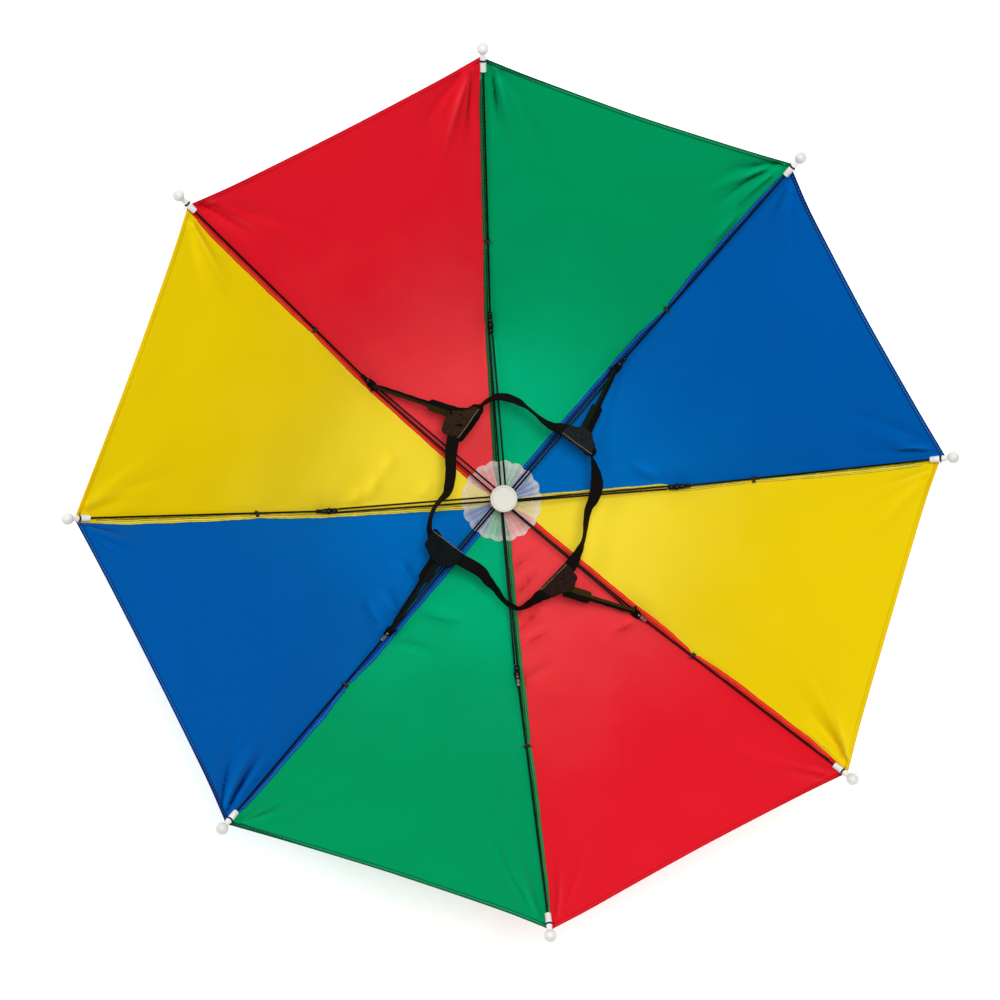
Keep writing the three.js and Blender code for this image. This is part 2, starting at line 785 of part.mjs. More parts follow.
// Strap from a pad's round side to its joint: a wide tongue, a step and a narrow tail
function strapGeometry(place) {
  const { middle, out, along } = padFrame(place);
  const start = middle.clone().addScaledVector(out, bandInset)
    .addScaledVector(along, (-place.strapShare * padLength) / 2);
  const top = knuckleHeight / 2 / Math.cos(knuckleSlope) + gap + strapWall / 2;
  const end = onRib(place.rib, jointRadius - ribDiameter, jointHeight + top);
  const length = flat(end).distanceTo(flat(start));
  const forward = flat(end).sub(flat(start)).normalize();
  const side = new THREE.Vector3(-forward.y, forward.x, 0);
  const tongueEnd = padDepth - bandInset + strapTongueLength;
  const tailStart = tongueEnd + strapStepLength;
  const stops = [
    { run: 0, width: strapTongueWidth },
    { run: tongueEnd, width: strapTongueWidth },
    { run: tailStart, width: strapTailWidth },
    { run: length, width: strapTailWidth },
  ];
  const sections = stops.map(({ run, width }) => {
    const centre = start.clone().lerp(end, run / length);
    const up = new THREE.Vector3(0, 0, strapWall / 2);
    return [[1, 1], [1, -1], [-1, -1], [-1, 1]].map(([a, b]) => centre.clone()
      .addScaledVector(side, (a * width) / 2)
      .addScaledVector(up, b));
  });
  return withCuts(sweptStrip(sections, false), [padSlab(place, gap)]);
}

function straps(group) {
  for (const place of padPlaces) {
    group.add(piece(`band_strap_${place.name}`, strapGeometry(place), blackElastic));
  }
}

const hat = new THREE.Group();
hat.add(topCap());
hat.add(rosette());
hat.add(notch());
hat.add(runner());
panels(hat);
innerRibs(hat);
stretchers(hat);
outerRibs(hat);
tipCaps(hat);
headband(hat);
straps(hat);

export default hat;
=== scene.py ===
"""Umbrella hat, opened, lying on the flat foot of its crown cap with its mouth up.

Shapes are worked out in millimetres and turned into metres where a mesh is made.
"""

import logging
import math
from dataclasses import dataclass, field
from enum import Enum
from typing import Any, Optional, Sequence, Union

import bmesh
import bpy
import numpy as np
from mathutils import Matrix, Vector


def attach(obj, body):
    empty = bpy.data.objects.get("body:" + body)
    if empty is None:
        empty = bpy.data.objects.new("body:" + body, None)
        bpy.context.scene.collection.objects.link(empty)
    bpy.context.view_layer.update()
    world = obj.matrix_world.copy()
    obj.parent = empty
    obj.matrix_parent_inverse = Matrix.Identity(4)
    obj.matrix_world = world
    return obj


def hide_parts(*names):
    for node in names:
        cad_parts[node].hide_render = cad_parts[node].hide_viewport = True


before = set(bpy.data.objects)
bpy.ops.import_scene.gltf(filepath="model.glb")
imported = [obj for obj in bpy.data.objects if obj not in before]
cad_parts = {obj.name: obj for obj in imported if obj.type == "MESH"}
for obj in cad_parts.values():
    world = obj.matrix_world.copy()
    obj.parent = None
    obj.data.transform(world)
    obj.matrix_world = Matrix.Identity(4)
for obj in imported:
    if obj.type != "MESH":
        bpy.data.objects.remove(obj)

LOG = logging.getLogger("umbrella_hat")
MM = 0.001
RIBS = 8
SECTOR = 2 * math.pi / RIBS
HALF = SECTOR / 2
Array = np.ndarray
Colour = tuple[float, float, float, float]
Profile = list[tuple[float, float]]
Corners = tuple[tuple[float, float], ...]
UP = np.array([0.0, 0.0, 1.0])


def shade(red: int, green: int, blue: int) -> Colour:
    """Return a screen colour as light.

    A share of the screen's colour gives the light (share + 0.055) / 1.055, raised to 2.4, or the
    share over 12.92 where it is near black.

    Args:
        red, green, blue: the colour on a screen, from 0 to 255.

    Returns:
        The colour as shares of light, with full cover.
    """
    shares = [value / 255 for value in (red, green, blue)]
    light = [((s + 0.055) / 1.055) ** 2.4 if s > 0.04 else s / 12.92 for s in shares]
    return (light[0], light[1], light[2], 1.0)


def toned(colour: Colour, tone: float) -> Colour:
    """Return a colour times a tone, with each share at most 1."""
    red, green, blue = (min(1.0, part * tone) for part in colour[:3])
    return (red, green, blue, colour[3])


def smooth(share: Union[float, Array]) -> Array:
    """Return an ease from 0 to 1: three times the share's square less twice its cube."""
    s = np.clip(share, 0.0, 1.0)
    return s * s * (3 - 2 * s)


def rib_angle(rib: int) -> float:
    """Return the turn of a rib about the crown, clockwise from the top one."""
    return math.pi / 2 - rib * SECTOR


def turned_about(points: Array, angle: float) -> Array:
    """Return points turned about the upright axis.

    Args:
        points: the points, with x, y and z last.
        angle: the turn, positive counter-clockwise.

    Returns:
        The turned points.
    """
    x, y, z = points[..., 0], points[..., 1], points[..., 2]
    c, s = math.cos(angle), math.sin(angle)
    return np.stack([c * x - s * y, s * x + c * y, z], axis=-1)


def on_rib(rib: int, outward: float, height: float, side: float = 0.0) -> Array:
    """Return a place or a direction by its run out along a rib, its height and its side."""
    return turned_about(np.array([outward, side, height]), rib_angle(rib))


def unit(vectors: Array) -> Array:
    """Return vectors at a length of one."""
    return vectors / np.linalg.norm(vectors, axis=-1, keepdims=True)


class Facing(Enum):
    """Which way the faces of a new mesh point."""

    OUT = "out of a closed body"
    UP = "up from a sheet"


@dataclass(frozen=True)
class Grid:
    """Points over two parameters, in millimetres, with a map of the surface in metres.

    Rows run down the first parameter and columns across the second, and either may close on itself.
    The map has one more row or column than the points where they close.
    """

    points: Array
    mapped: Optional[Array] = None
    # Painted shade and highlight along the folds, one value at each point.
    crease_shading: Optional[Array] = None
    closes_down: bool = False
    closes_across: bool = False

    def faces(self) -> tuple[Array, Array]:
        """Join the points up.

        Returns:
            Each face's four points and its four places on the map.
        """
        rows, columns = self.points.shape[:2]
        down = np.arange(rows if self.closes_down else rows - 1)
        across = np.arange(columns if self.closes_across else columns - 1)
        r, c = np.meshgrid(down, across, indexing="ij")
        corners = [(r, c), (r, c + 1), (r + 1, c + 1), (r + 1, c)]
        points = np.stack([(a % rows) * columns + b % columns for a, b in corners], axis=-1)
        wide = columns + int(self.closes_across)
        places = np.stack([a * wide + b for a, b in corners], axis=-1)
        return points.reshape(-1, 4), places.reshape(-1, 4)

    def map_points(self) -> Array:
        """List the map.

        Returns:
            The map as one list, or zeros where the grid has none.
        """
        if self.mapped is not None:
            return self.mapped.reshape(-1, 2)
        rows, columns = self.points.shape[:2]
        return np.zeros(((rows + int(self.closes_down)) * (columns + int(self.closes_across)), 2))


def make_piece(name: str, grids: Sequence[Grid], facing: Facing = Facing.OUT) -> bpy.types.Object:
    """Make one object from grids, with its points merged at poles.

    A closed grid is turned outwards where its volume, the sum of each face's triple product, is
    below zero. A sheet is turned up where its faces' summed rise is below zero.

    Args:
        name: the object's name.
        grids: the surfaces that it is made of.
        facing: which way its faces point.

    Returns:
        The new object, at the origin.
    """
    points, vertices, places, crease_shadings = [], [], [], []
    start = 0
    for grid in grids:
        spots = grid.points.reshape(-1, 3) * MM
        faces, mapped = grid.faces()
        a, b, c, d = (spots[faces[:, k]] - spots.mean(axis=0) for k in range(4))
        if facing is Facing.OUT:
            measure = np.sum(a * np.cross(b, c)) + np.sum(a * np.cross(c, d))
        else:
            measure = np.sum(np.cross(c - a, d - b)[:, 2])
        if measure < 0:
            faces, mapped = faces[:, ::-1], mapped[:, ::-1]
        points.append(spots)
        vertices.append(faces + start)
        places.append(grid.map_points()[mapped])
        crease_shadings.append(np.zeros(len(spots)) if grid.crease_shading is None else grid.crease_shading.ravel())
        start += len(spots)
    whole, loops = np.concatenate(points), np.concatenate(vertices)
    mesh = bpy.data.meshes.new(name)
    mesh.vertices.add(len(whole))
    mesh.vertices.foreach_set("co", whole.ravel())
    mesh.loops.add(loops.size)
    mesh.loops.foreach_set("vertex_index", loops.ravel())
    mesh.polygons.add(len(loops))
    mesh.polygons.foreach_set("loop_start", np.arange(0, loops.size, 4))
    mesh.uv_layers.new(name="surface").data.foreach_set("uv", np.concatenate(places).ravel())
    # Keep the painted crease shading at each point for the cloth's colour.
    if any(grid.crease_shading is not None for grid in grids):
        stored = mesh.attributes.new("crease_shading", "FLOAT", "POINT")
        stored.data.foreach_set("value", np.concatenate(crease_shadings))
    mesh.update(calc_edges=True)
    merged = bmesh.new()
    merged.from_mesh(mesh)
    bmesh.ops.remove_doubles(merged, verts=merged.verts, dist=2e-7)
    merged.to_mesh(mesh)
    merged.free()
    mesh.polygons.foreach_set("use_smooth", np.ones(len(mesh.polygons), dtype=bool))
    mesh.set_sharp_from_angle(angle=math.radians(50))
    piece = bpy.data.objects.new(name, mesh)
    bpy.context.scene.collection.objects.link(piece)
    return piece


def settle(
    piece: bpy.types.Object, material: bpy.types.Material, nodes: Sequence[str] = ()
) -> bpy.types.Object:
    """Dress a piece, let it ride on the hat and stand for its nodes.

    Args:
        piece: the new object.
        material: its finish.
        nodes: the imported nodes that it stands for.

    Returns:
        The same object.
    """
    piece.data.materials.append(material)
    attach(piece, "root")
    if nodes:
        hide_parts(*nodes)
    LOG.info("%s: %d faces", piece.name, len(piece.data.polygons))
    return piece


def give_wall(piece: bpy.types.Object, wall: float) -> None:
    """Give a sheet its thickness, below the face that was made.

    Args:
        piece: the sheet.
        wall: its thickness in millimetres.
    """
    solid = piece.modifiers.new("wall", "SOLIDIFY")
    solid.thickness = wall * MM
    solid.offset = -1.0


def run_along(path: Array) -> Array:
    """Return the length of a path from its start to each of its points."""
    steps = np.linalg.norm(np.diff(path, axis=0), axis=1)
    return np.concatenate([[0.0], np.cumsum(steps)])


def tube(path: Array, radius: Union[float, Array], across: Array, sides: int = 12) -> Grid:
    """Return a round tube along a path, closed at both ends.

    At each place the point is the path's plus the radius times cosine and sine of the turn, along
    two directions square to the path.

    Args:
        path: points that the tube follows.
        radius: its radius, the same all along or one for each point.
        across: a direction that is never along the path.
        sides: the number of points around.

    Returns:
        The closed grid.
    """
    path = np.asarray(path, dtype=float)
    forward = unit(np.gradient(path, axis=0))
    side = unit(np.cross(forward, np.broadcast_to(across, path.shape)))
    up = np.cross(side, forward)
    turn = np.linspace(0, 2 * math.pi, sides, endpoint=False)[None, :, None]
    reach = np.broadcast_to(np.asarray(radius, dtype=float), (len(path),))[:, None, None]
    ring = path[:, None] + reach * (np.cos(turn) * side[:, None] + np.sin(turn) * up[:, None])
    ends = [np.repeat(path[k][None, None], sides, axis=1) for k in (0, -1)]
    run = run_along(path) * MM
    run = np.concatenate([run[:1], run, run[-1:]])
    around = np.linspace(0, 1, sides + 1)
    mapped = np.stack(np.meshgrid(run, around, indexing="ij"), axis=-1)
    return Grid(np.concatenate([ends[0], ring, ends[1]]), mapped, closes_across=True)


def oblong(
    path: Array,
    across: Array,
    width: Union[float, Array],
    wall: Union[float, Array],
    loops: bool = False,
    squareness: float = 0.35,
    sides: int = 20,
) -> Grid:
    """Return a flat band or a rounded bar along a path.

    At a turn q round the section, the point stands off by half the width times the cosine of q and
    half the wall times its sine, each raised to the squareness and keeping its sign.

    Args:
        path: points that the band follows.
        across: the direction of its width at each point.
        width: its width, the same all along or one for each point.
        wall: its thickness, likewise.
        loops: whether the path closes on itself.
        squareness: the power of cosine and sine, 1 for an oval and towards 0 for a sharp oblong.
        sides: the number of points around.

    Returns:
        The closed grid, mapped by the run along it and the distance across it.
    """
    if loops:
        forward = unit(np.roll(path, -1, axis=0) - np.roll(path, 1, axis=0))
    else:
        forward = unit(np.gradient(path, axis=0))
    across = np.broadcast_to(across, path.shape)
    across = unit(across - forward * np.sum(across * forward, axis=1, keepdims=True))
    through = np.cross(forward, across)
    turn = np.linspace(0, 2 * math.pi, sides, endpoint=False) + math.pi / sides
    wide = np.sign(np.cos(turn)) * np.abs(np.cos(turn)) ** squareness
    deep = np.sign(np.sin(turn)) * np.abs(np.sin(turn)) ** squareness
    half_width = np.broadcast_to(np.asarray(width, dtype=float) / 2, (len(path),))
    half_wall = np.broadcast_to(np.asarray(wall, dtype=float) / 2, (len(path),))
    place = half_width[:, None] * wide
    ring = path[:, None] + place[..., None] * across[:, None]
    ring = ring + (half_wall[:, None] * deep)[..., None] * through[:, None]
    run = run_along(path) * MM
    if loops:
        run = np.append(run, run[-1] + np.linalg.norm(path[0] - path[-1]) * MM)
        place = np.concatenate([place, place[:1]])
    else:
        ends = [np.repeat(path[k][None, None], sides, axis=1) for k in (0, -1)]
        ring = np.concatenate([ends[0], ring, ends[1]])
        run = np.concatenate([run[:1], run, run[-1:]])
        place = np.concatenate([place[:1] * 0, place, place[-1:] * 0])
    place = np.concatenate([place, place[:, :1]], axis=1) * MM
    mapped = np.stack([np.repeat(run[:, None], sides + 1, axis=1), place], axis=-1)
    return Grid(ring, mapped, closes_down=loops, closes_across=True)


def turning(profile: Profile, origin: Array, axis: Array, sides: int = 48) -> Grid:
    """Return a turned shape: each profile point goes round the axis at its own radius and height.

    Args:
        profile: pairs of radius and height, from one end of the axis to the other.
        origin: the place of height zero.
        axis: the direction of the axis.
        sides: the number of points around.

    Returns:
        The closed grid, mapped by the turn and the height.
    """
    axis = unit(np.asarray(axis, dtype=float))
    aside = UP if abs(axis[2]) < 0.9 else np.array([1.0, 0.0, 0.0])
    first = unit(np.cross(axis, aside))
    second = np.cross(axis, first)
    radius, height = np.array(profile, dtype=float).T
    turn = np.linspace(0, 2 * math.pi, sides, endpoint=False)[None, :, None]
    spoke = np.cos(turn) * first + np.sin(turn) * second
    points = origin + height[:, None, None] * axis + radius[:, None, None] * spoke
    around = np.linspace(0, 1, sides + 1)
    mapped = np.stack(np.meshgrid(height * MM, around, indexing="ij"), axis=-1)
    return Grid(points, mapped, closes_across=True)


def rounded(corners: Profile, reach: float, steps: int = 4) -> Profile:
    """Return a profile with its inner corners rounded by a curve of three points.

    Each corner gives the curve (1-t)^2 a + 2t(1-t) b + t^2 c, where a and c lie on its two sides at
    the given reach or at 0.4 of the side, whichever is less, and b is the corner.

    Args:
        corners: the profile's corners.
        reach: how far from its corner a curve starts.
        steps: the number of points that replace a corner, less one.

    Returns:
        The rounded profile.
    """
    spots = np.array(corners, dtype=float)
    share = np.linspace(0, 1, steps + 1)[:, None]
    parts = [spots[:1]]
    for before, corner, after in zip(spots[:-2], spots[1:-1], spots[2:]):
        back, ahead = before - corner, after - corner
        low, high = np.linalg.norm(back), np.linalg.norm(ahead)
        a = corner + back / low * min(reach, 0.4 * low)
        c = corner + ahead / high * min(reach, 0.4 * high)
        parts.append((1 - share) ** 2 * a + 2 * share * (1 - share) * corner + share**2 * c)
    parts.append(spots[-1:])
    return [tuple(spot) for spot in np.concatenate(parts)]


def coil(
    centre: Array, axis: Array, wide: float, high: float, pitch: float, turns: float, thread: float
) -> Grid:
    """Return thread wound round an axis.

    At a turn q the thread's middle is the centre, plus the pitch times q over a full turn along the
    axis, plus the width times cosine of q and the height times its sine.

    Args:
        centre: the middle of the winding.
        axis: the direction that it advances along.
        wide: half its size to the side.
        high: half its size upwards.
        pitch: the advance of one turn.
        turns: the number of turns.
        thread: the thread's radius.

    Returns:
        The closed grid.
    """
    axis = unit(np.asarray(axis, dtype=float))
    side = unit(np.cross(UP, axis))
    up = np.cross(axis, side)
    q = np.linspace(0, 2 * math.pi * turns, int(22 * turns))[:, None]
    lead = pitch * (q / (2 * math.pi) - turns / 2)
    path = centre + lead * axis + wide * np.cos(q) * side + high * np.sin(q) * up
    return tube(path, thread, axis, sides=7)


class Link:
    """One output of a finish's nodes, with Python's operators for its maths."""

    def __init__(self, paint: "Paint", socket: bpy.types.NodeSocket) -> None:
        """Keep the socket and the paint that it belongs to."""
        self.paint = paint
        self.socket = socket

    def maths(self, operation: str, first: "Value", second: "Value") -> "Link":
        """Return the result of a Math node on two values."""
        return self.paint.node("ShaderNodeMath", {"operation": operation}, {0: first, 1: second})

    def __add__(self, other: "Value") -> "Link":
        """Return the sum."""
        return self.maths("ADD", self, other)

    __radd__ = __add__

    def __sub__(self, other: "Value") -> "Link":
        """Return the difference."""
        return self.maths("SUBTRACT", self, other)

    def __rsub__(self, other: "Value") -> "Link":
        """Return the difference from the other value."""
        return self.maths("SUBTRACT", other, self)

    def __mul__(self, other: "Value") -> "Link":
        """Return the product."""
        return self.maths("MULTIPLY", self, other)

    __rmul__ = __mul__

    def __gt__(self, other: "Value") -> "Link":
        """Return 1 where this is the greater, else 0."""
        return self.maths("GREATER_THAN", self, other)

    def __lt__(self, other: "Value") -> "Link":
        """Return 1 where this is the less, else 0."""
        return self.maths("LESS_THAN", self, other)

    def wave(self, length: float) -> "Link":
        """Return a sine wave from -1 to 1 that repeats over a length."""
        return self.maths("SINE", self * (2 * math.pi / length), 0.0)

    def distance(self, value: float) -> "Link":
        """Return how far this is from a value."""
        return self.maths("ABSOLUTE", self - value, 0.0)

    def ramp(self, low: "Value", high: "Value") -> "Link":
        """Return 0 below the low value, 1 above the high one and a smooth rise between."""
        settings = {"interpolation_type": "SMOOTHSTEP"}
        return self.paint.node("ShaderNodeMapRange", settings, {0: self, 1: low, 2: high})


Value = Union[float, Colour, Link, tuple[float, float, float]]


class Paint:
    """A material under construction: its nodes end in one Principled shader."""

    def __init__(self, name: str) -> None:
        """Start an empty material.

        Args:
            name: its name.
        """
        self.material = bpy.data.materials.new(name)
        self.material.use_nodes = True
        self.tree = self.material.node_tree
        self.tree.nodes.clear()
        self.shader = self.tree.nodes.new("ShaderNodeBsdfPrincipled")
        out = self.tree.nodes.new("ShaderNodeOutputMaterial")
        self.tree.links.new(self.shader.outputs["BSDF"], out.inputs["Surface"])

    def node(
        self,
        kind: str,
        settings: dict[str, Any],
        inputs: dict[Union[int, str], Value],
        output: Union[int, str] = 0,
    ) -> Link:
        """Add a node.

        Args:
            kind: the node's type.
            settings: its settings, set first.
            inputs: values or links by the name or number of their sockets.
            output: the name or number of the socket to return.

        Returns:
            The chosen output.
        """
        node = self.tree.nodes.new(kind)
        for name, value in settings.items():
            setattr(node, name, value)
        for key, value in inputs.items():
            self.feed(node.inputs[key], value)
        return Link(self, node.outputs[output])

    def feed(self, socket: bpy.types.NodeSocket, value: Value) -> None:
        """Set a socket to a value, or link it.

        Args:
            socket: the input.
            value: a value or a link.
        """
        if isinstance(value, Link):
            self.tree.links.new(value.socket, socket)
        else:
            socket.default_value = value

    def place(self) -> Link:
        """Return the place on the object, in metres."""
        return self.node("ShaderNodeTexCoord", {}, {}, "Object")

    def surface_place(self) -> tuple[Link, Link]:
        """Read the piece's own map.

        Returns:
            Its two parts, in metres.
        """
        mapped = self.node("ShaderNodeUVMap", {"uv_map": "surface"}, {})
        parts = self.node("ShaderNodeSeparateXYZ", {}, {0: mapped})
        return parts, Link(self, parts.socket.node.outputs[1])

    def stored(self, name: str) -> Link:
        """Return a value that the piece carries at its points."""
        return self.node("ShaderNodeAttribute", {"attribute_name": name}, {}, 2)

    def noise(
        self,
        place: Link,
        scale: float,
        detail: float = 2.0,
        stretch: tuple[float, float, float] = (1.0, 1.0, 1.0),
    ) -> Link:
        """Return a cloudy pattern from 0 to 1, with its features a metre over scale wide."""
        at = self.node("ShaderNodeMapping", {}, {"Vector": place, "Scale": stretch})
        return self.node("ShaderNodeTexNoise", {}, {"Vector": at, "Scale": scale, "Detail": detail})

    def mix(self, share: Value, first: Value, second: Value) -> Link:
        """Return a colour that goes from the first to the second as the share rises."""
        settings = {"data_type": "RGBA"}
        return self.node("ShaderNodeMix", settings, {0: share, 6: first, 7: second}, 2)

    def bump(self, height: Link, depth: float, strength: float = 1.0) -> Link:
        """Return the surface's direction over a relief of the given depth in millimetres."""
        inputs = {"Height": height, "Distance": depth * MM, "Strength": strength}
        return self.node("ShaderNodeBump", {}, inputs)

    def finish(self, **sockets: Value) -> bpy.types.Material:
        """Feed the shader.

        Args:
            sockets: values by the names of its sockets, with _ for a space.

        Returns:
            The material.
        """
        for name, value in sockets.items():
            self.feed(self.shader.inputs[name.replace("_", " ")], value)
        return self.material


@dataclass(frozen=True)
class PanelCloth:
    """Thin woven polyester, one colour, soft sheen, stitched hem along the rim, painted light and shade."""

    name: str
    colour: Colour
    # A lighter copy of the colour, for painted light and the tint of its reflections.
    light: Colour
    # The hem's darker colour, also used for painted shade.
    hem: Colour
    stitch: Colour
    hem_strength: float = 1.0
    hem_width: float = 3.1
    stitch_line: float = 1.9
    stitch_step: float = 2.4
    # How far along the rim the rolled hem's painted shade reaches, in metres.
    rolled_hem_shade_length: float = 0.075

    def material(self) -> bpy.types.Material:
        """Make the finish, where the map runs along the rim and in from it.

        Returns:
            The material.
        """
        paint = Paint(self.name)
        place = paint.place()
        along, inward = paint.surface_place()
        broad = paint.noise(place, 14.0)
        grain = paint.noise(place, 900.0)
        crinkle = paint.noise(place, 75.0, 3.0)
        # Painted light: lighter towards the crown; broad and crinkled noise vary the tone at random.
        painted_light_toward_crown = inward.ramp(0.03, 0.3)
        share = painted_light_toward_crown * 0.75 + (broad - 0.5) * 0.5 + (crinkle - 0.5) * 0.1
        base = paint.mix(share.ramp(0.0, 1.0), self.colour, self.light)
        # Rim: the doubled hem's darker colour and painted shade on its rolled edge, widest at the first
        # corner.
        rolled_hem_shade = 1 - along.ramp(0.0, self.rolled_hem_shade_length)
        edge = inward + (crinkle - 0.5) * 0.5 * MM
        rim_hem_and_shade = 1 - edge.ramp((0.7 + rolled_hem_shade * 2.2) * MM, (1.2 + rolled_hem_shade * 2.4) * MM)
        # Painted shade in a line at the hem's turned-in edge.
        fold = 1 - edge.distance(self.hem_width * MM).ramp(0.25 * MM, 0.75 * MM)
        hem = 1 - inward.ramp((self.hem_width - 0.4) * MM, self.hem_width * MM)
        # Painted shade in fold valleys and beside ridges, painted highlight on ridges.
        crease_shading = paint.stored("crease_shading")
        base = paint.mix((crease_shading * 0.33).ramp(0.0, 1.0), base, self.hem)
        base = paint.mix((crease_shading * -0.3).ramp(0.0, 1.0) * 0.7, base, self.light)
        base = paint.mix(hem * (0.25 * self.hem_strength), base, self.hem)
        base = paint.mix(fold * (0.6 * self.hem_strength), base, self.hem)
        base = paint.mix(rim_hem_and_shade * (0.25 + 0.7 * self.hem_strength), base, self.hem)
        dash = along.wave(self.stitch_step * MM) > -0.2
        stitch = dash * (inward.distance(self.stitch_line * MM) < 0.2 * MM)
        base = paint.mix(stitch * (0.45 * self.hem_strength), base, self.stitch)
        threads = along.wave(0.62 * MM) * inward.wave(0.62 * MM)
        pucker = along.wave(7.0 * MM) * (1 - inward.ramp(2.0 * MM, 8.0 * MM)) * 0.35
        relief = crinkle * 0.9 + grain * 0.2 + threads * 0.05 + stitch * 0.5 + pucker
        return paint.finish(
            Base_Color=base,
            Roughness=0.44 + grain * 0.1,
            Normal=paint.bump(relief, 0.35, 0.5),
            Specular_IOR_Level=0.6,
            Specular_Tint=self.light,
        )


@dataclass(frozen=True)
class SeamCloth:
    """Doubled cloth of a seam allowance, with one line of stitches along it and painted light and shade."""

    name: str
    colour: Colour
    # A shaded copy of the cloth's colour, for painted shade.
    shaded_colour: Colour
    thread: Colour
    stitch_line: float = 1.4

    def material(self) -> bpy.types.Material:
        """Make the finish, where the map runs along the strip and across it.

        Returns:
            The material.
        """
        paint = Paint(self.name)
        place = paint.place()
        along, across = paint.surface_place()
        rough = paint.noise(place, 420.0, 3.0)
        patch = paint.noise(place, 130.0)
        # Painted light and shade: darker towards the wire and at the outer edge, with light and dark
        # streaks.
        wander = across + (patch - 0.5) * (0.9 * MM)
        shaded = across.ramp(1.2 * MM, 4.6 * MM) * 0.45
        rim = 1 - across.ramp(0.2 * MM, 0.8 * MM)
        share = 0.72 - shaded - rim * 0.35 + wander.wave(1.55 * MM) * 0.38 + (patch - 0.5) * 0.5
        base = paint.mix(share.ramp(0.0, 1.0), self.shaded_colour, self.colour)
        dash = along.wave(2.3 * MM) > -0.1
        stitch = dash * (across.distance(self.stitch_line * MM) < 0.2 * MM)
        # Darker in specks along the outer edge.
        edge_specks = (across < 0.35 * MM) * (rough > 0.5)
        base = paint.mix(stitch * 0.4, base, self.thread)
        base = paint.mix(edge_specks * 0.5, base, self.shaded_colour)
        relief = rough * 0.7 + patch * 0.6 + stitch * 0.6
        return paint.finish(
            Base_Color=base,
            Roughness=0.6 + rough * 0.15,
            Normal=paint.bump(relief, 0.4, 0.6),
            Specular_Tint=self.colour,
        )


@dataclass(frozen=True)
class Enamel:
    """Black enamelled steel wire, glossy, with fine wear."""

    name: str = "black_enamel"
    colour: Colour = shade(4, 4, 4)
    worn: Colour = shade(64, 54, 46)

    def material(self) -> bpy.types.Material:
        """Make the finish.

        Returns:
            The material.
        """
        paint = Paint(self.name)
        place = paint.place()
        specks = paint.noise(place, 650.0, 4.0)
        smear = paint.noise(place, 90.0)
        worn = (specks + smear * 0.35).ramp(0.86, 0.98)
        return paint.finish(
            Base_Color=paint.mix(worn, self.colour, self.worn),
            Roughness=0.26 + smear * 0.12 + worn * 0.2,
            Normal=paint.bump(specks, 0.04, 0.3),
            Specular_IOR_Level=0.12,
        )


@dataclass(frozen=True)
class BareSteel:
    """Crimped bare steel of rivets and ferrules, a little tarnished."""

    name: str = "bare_steel"
    bright: Colour = shade(170, 166, 162)
    dull: Colour = shade(92, 86, 82)

    def material(self) -> bpy.types.Material:
        """Make the finish.

        Returns:
            The material.
        """
        paint = Paint(self.name)
        patch = paint.noise(paint.place(), 500.0, 3.0)
        return paint.finish(
            Base_Color=paint.mix(patch.ramp(0.35, 0.65), self.dull, self.bright),
            Metallic=1.0,
            Roughness=0.3 + patch * 0.2,
            Normal=paint.bump(patch, 0.08, 0.5),
        )


@dataclass(frozen=True)
class MouldedPlastic:
    """White moulded plastic, satin, very slightly mottled."""

    name: str
    colour: Colour
    shadow: Colour
    roughness: float = 0.36

    def material(self) -> bpy.types.Material:
        """Make the finish.

        Returns:
            The material.
        """
        paint = Paint(self.name)
        place = paint.place()
        cloud = paint.noise(place, 140.0, 3.0)
        grain = paint.noise(place, 1600.0)
        return paint.finish(
            Base_Color=paint.mix(cloud.ramp(0.3, 0.75), self.colour, self.shadow),
            Roughness=self.roughness + grain * 0.08,
            Normal=paint.bump(cloud * 0.8 + grain * 0.2, 0.12, 0.5),
            Coat_Weight=0.15,
            Coat_Roughness=0.25,
        )


@dataclass(frozen=True)
class PleatedFilm:
    """Thin translucent white film with pressed pleats."""

    name: str = "pleated_film"
    colour: Colour = shade(253, 252, 247)
    cover: float = 0.19
    pleat_cover: float = 0.045
    rim_cover: float = 0.11
    cloud_cover: float = 0.1
    broad_cover: float = 0.3
    rim_start: float = 25.5
    rim_end: float = 29.0

    def material(self) -> bpy.types.Material:
        """Make the finish, where the map runs out from the middle and around.

        Returns:
            The material.
        """
        paint = Paint(self.name)
        outward, around = paint.surface_place()
        cloud = paint.noise(paint.place(), 260.0, 3.0)
        pleats = around.wave(1 / 36)
        rim = outward.ramp(self.rim_start * MM, self.rim_end * MM)
        broad = paint.noise(paint.place(), 42.0, 1.0)
        cover = self.cover + pleats * self.pleat_cover + rim * self.rim_cover
        cover = cover + (cloud - 0.5) * self.cloud_cover + (broad - 0.5) * self.broad_cover
        return paint.finish(
            Base_Color=self.colour,
            Roughness=0.42,
            Alpha=cover,
            Normal=paint.bump(pleats + cloud * 0.7, 0.3, 0.7),
        )


